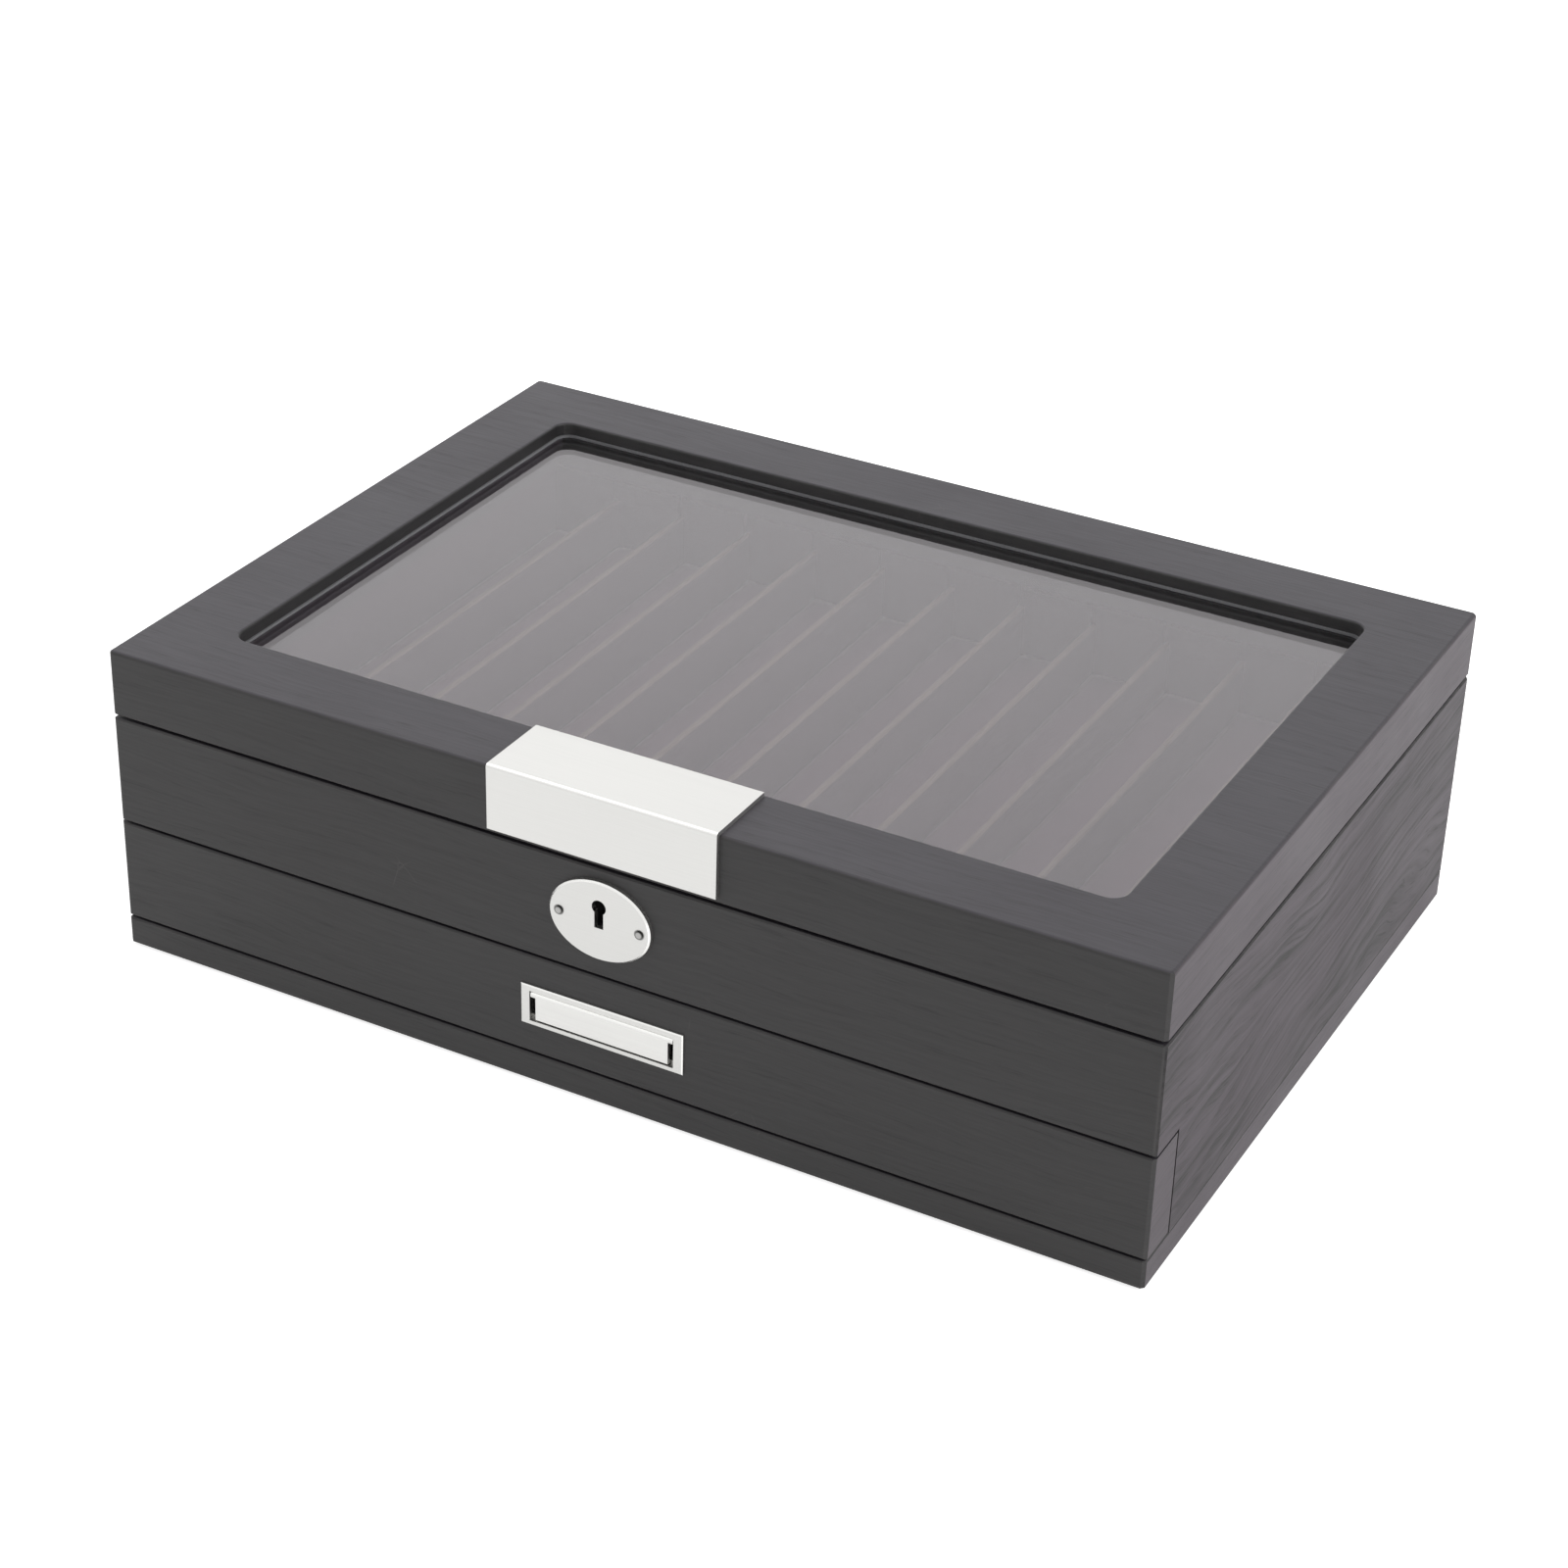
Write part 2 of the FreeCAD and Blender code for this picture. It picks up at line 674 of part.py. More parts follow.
def front_panel():
    """The panel over the drawer front, mortised from inside for the lock."""
    body = end_panel("front_panel", -1, "panel_low")
    cut(body, "z", "lock_low - lock_play", "rim", rectangle,
        ("-lock_half_width - lock_play", "lock_half_width + lock_play"),
        ("lock_front", "-inner_half_depth + panel_thick"))
    cut(body, "z", "lock_top", "rim", rectangle,
        ("-selvedge_half_width", "selvedge_half_width"), ("selvedge_depth", "-inner_half_depth + panel_thick"))
    cut(body, "z", "rim - screw_length - screw_clear", "lock_top", circles,
        [(mirrored("lock_screw_spread", side), "lock_screw_depth") for side in (-1, 1)], "screw_hole")
    cut(body, "y", "-half_depth", "lock_front", keyhole, "keyhole_margin")
    cut(body, "y", "-half_depth", "-half_depth + oval_pin_length", circles,
        [(mirrored("oval_pin_spread", side), "oval_middle") for side in (-1, 1)],
        "oval_pin_radius + screw_clear")
    soften(body, "Chamfer", "edge_break", outer_edges("y", "-half_depth", "rim", "panel_low"))
    finished(body)


def leaf_span(side):
    middle = mirrored("hinge_place", side)
    return f"{middle} - hinge_length / 2", f"{middle} + hinge_length / 2"


def leaf_screws(side):
    middle = mirrored("hinge_place", side)
    return [(f"{middle} + {mirrored('leaf_screw_spread', end)}", "leaf_screw_depth") for end in (-1, 1)]


def back_panel():
    body = end_panel("back_panel", 1, "base_top")
    for side in (-1, 1):
        cut(body, "z", "rim - leaf_thick", "rim", rectangle, leaf_span(side),
            ("leaf_front", "half_depth + panel_thick"))
        cut(body, "z", "rim - screw_length - screw_clear", "rim - leaf_thick", circles,
            leaf_screws(side), "screw_hole")
    finished(body)


def deck():
    board("deck_board",
          ("-inner_half_width - deck_groove + groove_play", "inner_half_width + deck_groove - groove_play"),
          ("-inner_half_depth - deck_groove + groove_play", "inner_half_depth + deck_groove - groove_play"),
          ("deck_low", "deck_high"))


def bumpers():
    dots = []
    for name, side in (("left", -1), ("right", 1)):
        dot = new_body(f"lid_bumper_{name}")
        extrude(dot, "z", "rim", "rim + bumper_thick", circles,
                [(mirrored("half_width - bumper_inset", side), "-half_depth + panel_thick / 2")],
                "bumper_radius")
        dots.append(dot)
    group("lid_bumpers", dots)


# ---------------------------------------------------------------- slotted trays

def divider_grooves(body, wall, inner_half_width, pitch, low, high):
    """Grooves that take the ends of the dividers, in a wall between two places."""
    left = f"-({inner_half_width}) + {pitch} - divider_thick - divider_play / 2"
    groove = cut(body, "z", low, high, rectangle, (left, f"{left} + divider_thick + divider_play"), wall)
    repeat(body, [groove], pitch, "slots - 1")


def divider_row(label, inner_half_width, pitch, deep, up):
    body = new_body(label)
    left = f"-({inner_half_width}) + {pitch} - divider_thick"
    right = f"-({inner_half_width}) + {pitch}"
    shoulder = f"{up[1]} - divider_break"
    first = extrude(body, "y", deep[0], deep[1], polygon,
                    [(left, up[0]), (right, up[0]), (right, shoulder), (f"{right} - divider_break", up[1]),
                     (f"{left} + divider_break", up[1]), (left, shoulder)])
    repeat(body, [first], pitch, "slots - 1")
    finished(body)


def pad_row(label, inner_half_width, pitch, deep, low):
    """A thin soft pad on the floor of each slot."""
    body = new_body(label)
    left = f"-({inner_half_width}) + pad_play"
    right = f"-({inner_half_width}) + {pitch} - divider_thick - pad_play"
    first = extrude(body, "z", low, f"{low} + pad_thick", rectangle, (left, right),
                    (f"{deep[0]} + pad_play", f"{deep[1]} - pad_play"))
    repeat(body, [first], pitch, "slots")
    finished(body)


def tray():
    groove_floor = "tray_inner_depth + divider_groove + divider_play"
    for name, side in (("front", -1), ("back", 1)):
        wall = new_body(f"tray_wall_{name}")
        extrude(wall, "z", "deck_high", "tray_high", rectangle, ("-tray_half_width", "tray_half_width"),
                (mirrored("tray_inner_depth", side), mirrored("tray_half_depth", side)))
        divider_grooves(wall, (mirrored("tray_inner_depth - tray_wall", side), mirrored(groove_floor, side)),
                        "tray_inner_width", "tray_pitch", "tray_floor_high", "tray_high")
        finished(wall)
    board("tray_wall_left", ("-tray_half_width", "-tray_inner_width"),
          ("-tray_inner_depth", "tray_inner_depth"), ("deck_high", "tray_high"))
    board("tray_wall_right", ("tray_inner_width", "tray_half_width"),
          ("-tray_inner_depth", "tray_inner_depth"), ("deck_high", "tray_high"))
    board("tray_floor", ("-tray_inner_width", "tray_inner_width"),
          ("-tray_inner_depth", "tray_inner_depth"), ("deck_high", "tray_floor_high"))
    divider_row("tray_dividers", "tray_inner_width", "tray_pitch",
                ("-tray_inner_depth - divider_groove", "tray_inner_depth + divider_groove"),
                ("tray_floor_high", "tray_floor_high + divider_height"))
    pad_row("tray_pads", "tray_inner_width", "tray_pitch", ("-tray_inner_depth", "tray_inner_depth"),
            "tray_floor_high")


# ---------------------------------------------------------------- drawer

def pan_span(play):
    """Across and up, the outside of the pull's pan with some play round it."""
    wide = f"pan_half_width + pan_wall + {play}"
    return (f"-({wide})", wide), (f"pan_low - pan_wall - {play}", f"pan_high + pan_wall + {play}")


def drawer_front():
    """The full-width front: housings behind for the drawer box, a mortise for the flush pull."""
    body = new_body("drawer_front")
    extrude(body, "z", "front_low", "front_high", polygon,
            [("-half_width + corner_break", "-half_depth"), ("half_width - corner_break", "-half_depth"),
             ("half_width", "-half_depth + corner_break"), ("half_width", "front_rear"),
             ("-half_width", "front_rear"), ("-half_width", "-half_depth + corner_break")])
    housing = ("front_rear - drawer_dado", "front_rear + front_thick")
    for side in (-1, 1):
        cut(body, "z", "drawer_low", "drawer_high", rectangle,
            (mirrored("drawer_inner_width", side), mirrored("drawer_half_width", side)), housing)
    cut(body, "z", "bottom_low", "bottom_high", rectangle,
        ("-drawer_inner_width - bottom_groove", "drawer_inner_width + bottom_groove"), housing)
    cut(body, "y", "-half_depth", "pan_rear + pan_play", rectangle, *pan_span("pan_play"))
    cut(body, "y", "pan_rear", "pan_floor + pull_screw_length + screw_clear", circles,
        [(mirrored("pull_screw_spread", side), "pull_middle") for side in (-1, 1)], "screw_hole")
    divider_grooves(body, ("front_rear - divider_groove - divider_play", "front_rear + front_thick"),
                    "drawer_inner_width", "drawer_pitch", "bottom_high", "drawer_high")
    soften(body, "Chamfer", "edge_break", outer_edges("y", "-half_depth", "front_low", "front_high"))
    finished(body)


def drawer_side(label, side):
    """A drawer side, grooved inside for the bottom and outside for its runner."""
    body = new_body(label)
    extrude(body, "z", "drawer_low", "drawer_high", rectangle,
            (mirrored("drawer_inner_width", side), mirrored("drawer_half_width", side)),
            ("front_rear - drawer_dado", "drawer_rear"))
    cut(body, "z", "bottom_low", "bottom_high", rectangle,
        (mirrored("drawer_inner_width - drawer_side", side),
         mirrored("drawer_inner_width + bottom_groove", side)),
        ("front_rear - drawer_dado - drawer_side", "drawer_rear + drawer_side"))
    cut(body, "z", "runner_low - runner_play", "runner_high + runner_play", rectangle,
        (mirrored("drawer_half_width - runner_proud", side),
         mirrored("drawer_half_width + drawer_side", side)),
        ("runner_front - drawer_play", "drawer_rear + drawer_side"))
    finished(body)


def drawer_back():
    body = new_body("drawer_back")
    extrude(body, "z", "bottom_high", "drawer_high", rectangle,
            ("-drawer_inner_width", "drawer_inner_width"), ("drawer_back_front", "drawer_rear"))
    stop_screw_hole = "drawer_high - drawer_side / 2"
    cut(body, "y", "button_rear - screw_length - screw_clear", "drawer_rear", circles,
        [("0", stop_screw_hole)], "screw_hole")
    divider_grooves(body, ("drawer_back_front - drawer_side",
                           "drawer_back_front + divider_groove + divider_play"),
                    "drawer_inner_width", "drawer_pitch", "bottom_high", "drawer_high")
    finished(body)


def drawer():
    drawer_front()
    drawer_side("drawer_side_left", -1)
    drawer_side("drawer_side_right", 1)
    drawer_back()
    board("drawer_bottom", ("-drawer_inner_width - bottom_groove", "drawer_inner_width + bottom_groove"),
          ("front_rear - drawer_dado", "drawer_rear"), ("bottom_low", "bottom_high"))
    divider_row("drawer_dividers", "drawer_inner_width", "drawer_pitch",
                ("front_rear - divider_groove", "drawer_back_front + divider_groove"),
                ("bottom_high", "bottom_high + drawer_divider_height"))
    pad_row("drawer_pads", "drawer_inner_width", "drawer_pitch", ("front_rear", "drawer_back_front"),
            "bottom_high")


def runners():
    for name, side in (("left", -1), ("right", 1)):
        body = new_body(f"drawer_runner_{name}")
        extrude(body, "z", "runner_low", "runner_high", rectangle,
                (mirrored("inner_half_width - runner_proud", side), mirrored("inner_half_width", side)),
                ("runner_front", "inner_half_depth"))
        finished(body)


def drawer_stop():
    """A button standing over the drawer's back, and the cleat that it meets at full travel."""
    board("drawer_stop_cleat", ("-cleat_width / 2", "cleat_width / 2"),
          ("cleat_rear - cleat_depth", "cleat_rear"), ("cleat_low", "deck_low"))
    screw_height = "drawer_high - drawer_side / 2"
    button = new_body("drawer_stop_button")
    extrude(button, "y", "drawer_rear", "button_rear", rectangle,
            ("-button_width / 2", "button_width / 2"), ("button_low", "button_high"))
    countersink(button, "y", "button_rear", [("0", screw_height)], upwards=True)
    finished(button)
    screw_set("drawer_stop_screw", "forward", [("0", "button_rear", screw_height)], "screw_length")


# ---------------------------------------------------------------- flush pull

def pull():
    """A plate with a sunk pan, and a flap hung in it by a pin through its rolled top edge."""
    plate = new_body("pull_plate")
    extrude(plate, "y", "pull_front", "-half_depth", rectangle,
            ("-pull_width / 2", "pull_width / 2"), ("pull_low", "pull_high"))
    soften(plate, "Chamfer", "pull_break", lambda edge: lies_on(edge, "y", "pull_front"))
    extrude(plate, "y", "-half_depth", "pan_rear", rectangle, *pan_span("0"))
    cut(plate, "y", "pull_front", "pan_floor", rectangle,
        ("-pan_half_width", "pan_half_width"), ("pan_low", "pan_high"))
    extrude(plate, "y", "flap_rear + flap_play", "pan_floor", rectangle,
            ("-pan_half_width", "pan_half_width"), ("pan_low", "pan_low + pan_ledge"))
    pin_end = "pan_half_width + pull_pin_seat"
    cut(plate, "x", f"-({pin_end})", pin_end, circles,
        [("flap_axis_depth", "flap_axis_height")], "pull_pin_radius + press_clear")
    screws = [(mirrored("pull_screw_spread", side), "pull_middle") for side in (-1, 1)]
    countersink(plate, "y", "pan_floor", screws)
    finished(plate)
    screw_set("pull_screws", "back", [(across, "pan_floor", up) for across, up in screws],
              "pull_screw_length")

    flap = new_body("pull_flap")
    extrude(flap, "y", "flap_front", "flap_rear", rectangle,
            ("-flap_half_width", "flap_half_width"), ("flap_low", "flap_axis_height"))
    soften(flap, "Chamfer", "pull_break",
           lambda edge: lies_on(edge, "z", "flap_low") and lies_on(edge, "y", "flap_front"))
    extrude(flap, "x", "-barrel_half_width", "barrel_half_width", circles,
            [("flap_axis_depth", "flap_axis_height")], "barrel_radius")
    cut(flap, "x", "-barrel_half_width", "barrel_half_width", circles,
        [("flap_axis_depth", "flap_axis_height")], "pull_pin_radius + run_clear")
    finished(flap)

    pin = new_body("pull_pin")
    extrude(pin, "x", f"-({pin_end})", pin_end, circles,
            [("flap_axis_depth", "flap_axis_height")], "pull_pin_radius")
    finished(pin)


# ---------------------------------------------------------------- escutcheon and lock

def escutcheon():
    body = new_body("escutcheon")
    extrude(body, "y", "oval_front", "-half_depth", oval, "oval_middle", "oval_width", "oval_height")
    soften(body, "Chamfer", "oval_break", lambda edge: lies_on(edge, "y", "oval_front"))
    cut(body, "y", "oval_front", "-half_depth", keyhole, "0")
    pin_places = [(mirrored("oval_pin_spread", side), "oval_middle") for side in (-1, 1)]
    cut(body, "y", "oval_front", "-half_depth", circles, pin_places, "oval_pin_radius + screw_clear")
    finished(body)
    pins = []
    for name, place in zip(("left", "right"), pin_places):
        pin = new_body(f"escutcheon_pin_{name}")
        extrude(pin, "y", "oval_front", "-half_depth + oval_pin_length", circles, [place], "oval_pin_radius")
        extrude(pin, "y", "oval_front - oval_pin_proud", "oval_front", circles, [place], "oval_pin_head")
        pins.append(pin)
    group("escutcheon_pins", pins)


def lock_case():
    """An open-backed box under a top plate that lies flush in the rim."""
    body = new_body("lock_case")
    extrude(body, "z", "lock_low", "lock_top", rectangle,
            ("-lock_half_width", "lock_half_width"), ("lock_front", "cover_front"))
    cut(body, "z", "lock_low + lock_wall", "lock_top", rectangle,
        ("-lock_inner_width", "lock_inner_width"), ("lock_inner_front", "-inner_half_depth"))
    for left, right in (("-lock_inner_width", "-key_sweep"), ("key_sweep", "bolt_nose")):
        extrude(body, "z", "rib_high - rib_height", "rib_high", rectangle,
                (left, right), ("lock_inner_front", "cover_front"))
    extrude(body, "z", "lock_top", "rim", rectangle,
            ("-selvedge_half_width", "selvedge_half_width"), ("selvedge_depth", "-inner_half_depth"))
    cut(body, "z", "lock_top", "rim", rectangle,
        ("staple_left - staple_slot_play", "staple_right + staple_slot_play"),
        ("lock_middle - staple_half_depth - staple_slot_play",
         "lock_middle + staple_half_depth + staple_slot_play"))
    cut(body, "y", "lock_front", "lock_inner_front", keyhole, "0")
    countersink(body, "z", "rim",
                [(mirrored("lock_screw_spread", side), "lock_screw_depth") for side in (-1, 1)])
    finished(body)


def lock_cover():
    """The rear cover, carrying the round post that a barrel key turns on."""
    body = new_body("lock_cover")
    extrude(body, "y", "cover_front", "-inner_half_depth", rectangle,
            ("-lock_half_width", "lock_half_width"), ("lock_low", "lock_top"))
    extrude(body, "y", "lock_front", "cover_front", circles, [("0", "keyhole_height")], "post_radius")
    finished(body)


def lock_bolt():
    """A flat bar that slides sideways, notched underneath for the key."""
    body = new_body("lock_bolt")
    notch_middle = "-bolt_travel / 2"
    notch_top = "bolt_low + bolt_notch_deep"
    extrude(body, "y", "lock_middle - bolt_thick / 2", "lock_middle + bolt_thick / 2", polygon,
            [("-bolt_tail", "bolt_low"), (f"{notch_middle} - bolt_notch / 2", "bolt_low"),
             (f"{notch_middle} - bolt_notch / 2", notch_top), (f"{notch_middle} + bolt_notch / 2", notch_top),
             (f"{notch_middle} + bolt_notch / 2", "bolt_low"), ("bolt_nose", "bolt_low"),
             ("bolt_nose", "bolt_high"), ("-bolt_tail", "bolt_high")])
    finished(body)


def lock_spring():
    """A bowed leaf under the top plate that keeps the bolt from sliding by itself."""
    body = new_body("lock_spring")
    flat_end = "-bolt_tail + bolt_notch / 2"
    bow = "-bolt_travel / 2"
    extrude(body, "y", "lock_middle - bolt_thick / 2", "lock_middle + bolt_thick / 2", polygon,
            [("-bolt_tail", "lock_top"), ("-bolt_tail", "lock_top - spring_thick"),
             (flat_end, "lock_top - spring_thick"), (bow, "lock_top - spring_bow - spring_thick"),
             ("bolt_travel", "lock_top - spring_thick"), ("bolt_travel", "lock_top"),
             (bow, "lock_top - spring_bow"), (flat_end, "lock_top")])
    finished(body)


def strike():
    """The plate in the lid's underside, with the eyed staple that the bolt passes through."""
    body = new_body("strike_plate")
    extrude(body, "z", "lid_low", "lid_low + selvedge_thick", rectangle,
            ("-selvedge_half_width", "selvedge_half_width"), ("selvedge_depth", "-inner_half_depth"))
    extrude(body, "z", "staple_low", "lid_low", rectangle, ("staple_left", "staple_right"),
            ("lock_middle - staple_half_depth", "lock_middle + staple_half_depth"))
    cut(body, "x", "staple_left", "staple_right", rectangle,
        ("lock_middle - eye_half_depth", "lock_middle + eye_half_depth"), ("eye_low", "eye_high"))
    countersink(body, "z", "lid_low",
                [(mirrored("lock_screw_spread", side), "lock_screw_depth") for side in (-1, 1)],
                upwards=True)
    finished(body)


def lock():
    lock_case()
    lock_cover()
    lock_bolt()
    lock_spring()
    strike()
    places = [(mirrored("lock_screw_spread", side), "lock_screw_depth") for side in (-1, 1)]
    screw_set("lock_screws", "down", [(*place, "rim") for place in places], "screw_length")
    screw_set("strike_screws", "up", [(*place, "lid_low") for place in places], "screw_length")


# ---------------------------------------------------------------- hinges

def knuckle(body, left, right, web_low, web_high, clearance):
    """A round knuckle on the hinge axis, joined to its leaf by a web and bored for the pin."""
    extrude(body, "x", left, right, rectangle, ("half_depth", "axis_depth"), (web_low, web_high))
    extrude(body, "x", left, right, circles, [("axis_depth", "axis_height")], "knuckle_radius")
    cut(body, "x", left, right, circles, [("axis_depth", "axis_height")], f"hinge_pin_radius + {clearance}")


def hinge(name, side):
    left, right = leaf_span(side)
    case_leaf = new_body(f"hinge_{name}_case_leaf")
    extrude(case_leaf, "z", "rim - leaf_thick", "rim", rectangle, (left, right), ("leaf_front", "half_depth"))
    for start, end in ((left, f"{left} + knuckle_length"), (f"{right} - knuckle_length", right)):
        knuckle(case_leaf, start, end, "rim - leaf_thick", "rim", "press_clear")
    countersink(case_leaf, "z", "rim", leaf_screws(side))
    finished(case_leaf)

    lid_leaf = new_body(f"hinge_{name}_lid_leaf")
    middle_left = f"{left} + knuckle_length + knuckle_gap"
    middle_right = f"{right} - knuckle_length - knuckle_gap"
    extrude(lid_leaf, "z", "lid_low", "lid_low + leaf_thick", rectangle, (left, right),
            ("leaf_front", "half_depth"))
    extrude(lid_leaf, "x", middle_left, middle_right, rectangle, ("axis_depth", "axis_depth + stop_reach"),
            ("axis_height - stop_drop", "axis_height - stop_drop + stop_thick"))
    knuckle(lid_leaf, middle_left, middle_right, "lid_low", "lid_low + leaf_thick", "run_clear")
    countersink(lid_leaf, "z", "lid_low", leaf_screws(side), upwards=True)
    finished(lid_leaf)

    pin = new_body(f"hinge_{name}_pin")
    axis = [("axis_depth", "axis_height")]
    extrude(pin, "x", left, right, circles, axis, "hinge_pin_radius")
    extrude(pin, "x", f"{left} - hinge_pin_head", left, circles, axis, "hinge_pin_radius + hinge_pin_head")
    extrude(pin, "x", right, f"{right} + hinge_pin_head", circles, axis, "hinge_pin_radius + hinge_pin_head")
    finished(pin)


def hinges():
    hinge("left", -1)
    hinge("right", 1)
    places = leaf_screws(-1) + leaf_screws(1)
    screw_set("hinge_case_screws", "down", [(*place, "rim") for place in places], "screw_length")
    screw_set("hinge_lid_screws", "up", [(*place, "lid_low") for place in places], "screw_length")


# ---------------------------------------------------------------- lid

def lid_frame():
    """One routed frame: a round-cornered window above, a square rebate for the glass below."""
    body = new_body("lid_frame")
    extrude(body, "z", "lid_low", "chest_height", broken_rectangle, "half_width", "half_depth",
            "corner_break")
    soften(body, "Fillet", "lid_round",
           lambda edge: lies_on(edge, "z", "chest_height"))
    soften(body, "Chamfer", "edge_break", lambda edge: lies_on(edge, "z", "lid_low"))
    cut(body, "z", "lid_low", "chest_height", rounded_rectangle, "window_half_width", "window_half_depth",
        "window_corner")
    soften(body, "Fillet", "window_round",
           lambda edge: lies_on(edge, "z", "chest_height")
           and edge.BoundBox.XMax < number("window_half_width") + TINY
           and edge.BoundBox.XMin > -number("window_half_width") - TINY
           and edge.BoundBox.YMax < number("window_half_depth") + TINY
           and edge.BoundBox.YMin > -number("window_half_depth") - TINY)
    cut(body, "z", "lid_low", "lip_low", rectangle,
        ("-rebate_half_width", "rebate_half_width"), ("-rebate_half_depth", "rebate_half_depth"))
    for side in (-1, 1):
        cut(body, "z", "lid_low", "lid_low + leaf_thick", rectangle, leaf_span(side),
            ("leaf_front", "half_depth + panel_thick"))
        cut(body, "z", "lid_low + leaf_thick", "lid_low + screw_length + screw_clear", circles,
            leaf_screws(side), "screw_hole")
    cut(body, "z", "lid_low", "lid_low + selvedge_thick", rectangle,
        ("-selvedge_half_width", "selvedge_half_width"), ("selvedge_depth", "-inner_half_depth"))
    cut(body, "z", "lid_low + selvedge_thick", "lid_low + screw_length + screw_clear", circles,
        [(mirrored("lock_screw_spread", side), "lock_screw_depth") for side in (-1, 1)], "screw_hole")
    finished(body)


def glazing():
    """The pane on its thin seal under the lip, and the mitred beads that hold it up."""
    pane_across = "rebate_half_width - glass_play"
    pane_deep = "rebate_half_depth - glass_play"
    board("glass_pane", (f"-({pane_across})", pane_across), (f"-({pane_deep})", pane_deep),
          ("glass_low", "glass_high"))
    seal = new_body("glass_seal")
    extrude(seal, "z", "glass_high", "lip_low", rectangle,
            (f"-({pane_across})", pane_across), (f"-({pane_deep})", pane_deep))
    cut(seal, "z", "glass_high", "lip_low", rounded_rectangle, "window_half_width - seal_show",
        "window_half_depth - seal_show", "window_corner - seal_show")
    finished(seal)
    wide, deep = "rebate_half_width - bead_play", "rebate_half_depth - bead_play"
    inner_wide, inner_deep = f"{wide} - bead_width", f"{deep} - bead_width"
    for name, side in (("front", -1), ("back", 1)):
        bead = new_body(f"glazing_bead_{name}")
        extrude(bead, "z", "glass_low - bead_height", "glass_low", polygon,
                [(f"-({wide})", mirrored(deep, side)), (wide, mirrored(deep, side)),
                 (inner_wide, mirrored(inner_deep, side)), (f"-({inner_wide})", mirrored(inner_deep, side))])
        finished(bead)
    for name, side in (("left", -1), ("right", 1)):
        bead = new_body(f"glazing_bead_{name}")
        extrude(bead, "z", "glass_low - bead_height", "glass_low", polygon,
                [(mirrored(wide, side), f"-({deep})"), (mirrored(wide, side), deep),
                 (mirrored(inner_wide, side), inner_deep), (mirrored(inner_wide, side), f"-({inner_deep})")])
        finished(bead)


def lid_plate():
    """A strip of metal folded over the front rail: one leg on top, one down the front."""
    body = new_body("lid_plate")
    front = "-half_depth - plate_thick"
    top = "chest_height + plate_thick"
    extrude(body, "x", "-plate_width / 2", "plate_width / 2", polygon,
            [(front, "chest_height - plate_fall"), (front, top),
             ("-half_depth + plate_reach", top), ("-half_depth + plate_reach", "chest_height"),
             ("-half_depth", "chest_height"), ("-half_depth", "chest_height - plate_fall")])
    soften(body, "Fillet", "plate_round",
           lambda edge: lies_on(edge, "y", front) and lies_on(edge, "z", top))
    soften(body, "Fillet", "plate_edge",
           lambda edge: lies_on(edge, "z", top) and lies_on(edge, "y", "-half_depth + plate_reach")
           or lies_on(edge, "y", front) and lies_on(edge, "z", "chest_height - plate_fall"))
    finished(body)


# ---------------------------------------------------------------- checks and files

def check():
    """Stop if a feature failed, a cut took nothing away or a piece has no good solid."""
    for item in doc.Objects:
        if {"Invalid", "Error"} & set(item.State):
            raise RuntimeError(f"{item.Label} failed: {item.State}")
        if item.TypeId in ("PartDesign::Pocket", "PartDesign::Hole"):
            if item.Shape.Volume >= item.BaseFeature.Shape.Volume - TINY:
                raise RuntimeError(f"{item.Label} cuts nothing")
    for item in pieces:
        if item.Shape.isNull() or not item.Shape.isValid() or not item.Shape.Solids:
            raise RuntimeError(f"{item.Label} has no valid solid")


def build():
    fill_sheet()
    base()
    side_panel("side_panel_left", -1)
    side_panel("side_panel_right", 1)
    front_panel()
    back_panel()
    deck()
    bumpers()
    tray()
    drawer()
    runners()
    drawer_stop()
    pull()
    escutcheon()
    lock()
    hinges()
    lid_frame()
    glazing()
    lid_plate()
    doc.recompute()


def write():
    os.makedirs("parts", exist_ok=True)
    for item in pieces:
        item.Shape.exportStep(f"parts/{item.Label}.step")
    print(len(pieces), "pieces,", sum(len(item.Shape.Solids) for item in pieces), "solids")


build()
check()
write()
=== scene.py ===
import json
import math

import bmesh
import bpy
from bpy.props import FloatProperty, FloatVectorProperty, IntProperty, PointerProperty
from mathutils import Matrix, Vector, noise


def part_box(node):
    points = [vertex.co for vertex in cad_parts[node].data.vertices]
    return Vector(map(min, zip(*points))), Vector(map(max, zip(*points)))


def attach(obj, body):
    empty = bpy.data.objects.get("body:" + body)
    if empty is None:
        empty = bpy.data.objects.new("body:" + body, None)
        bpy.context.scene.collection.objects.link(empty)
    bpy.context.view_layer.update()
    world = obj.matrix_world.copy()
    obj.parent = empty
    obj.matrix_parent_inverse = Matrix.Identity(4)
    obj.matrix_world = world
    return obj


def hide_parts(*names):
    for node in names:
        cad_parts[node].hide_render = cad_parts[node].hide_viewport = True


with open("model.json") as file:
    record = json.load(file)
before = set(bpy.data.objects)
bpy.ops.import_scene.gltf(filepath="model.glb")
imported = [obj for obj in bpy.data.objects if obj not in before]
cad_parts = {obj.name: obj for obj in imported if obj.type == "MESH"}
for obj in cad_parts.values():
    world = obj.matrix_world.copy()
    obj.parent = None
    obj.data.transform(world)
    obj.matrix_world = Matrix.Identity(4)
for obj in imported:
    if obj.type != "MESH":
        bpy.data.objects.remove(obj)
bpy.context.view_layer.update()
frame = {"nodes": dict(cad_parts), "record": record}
NODES = frame["nodes"]

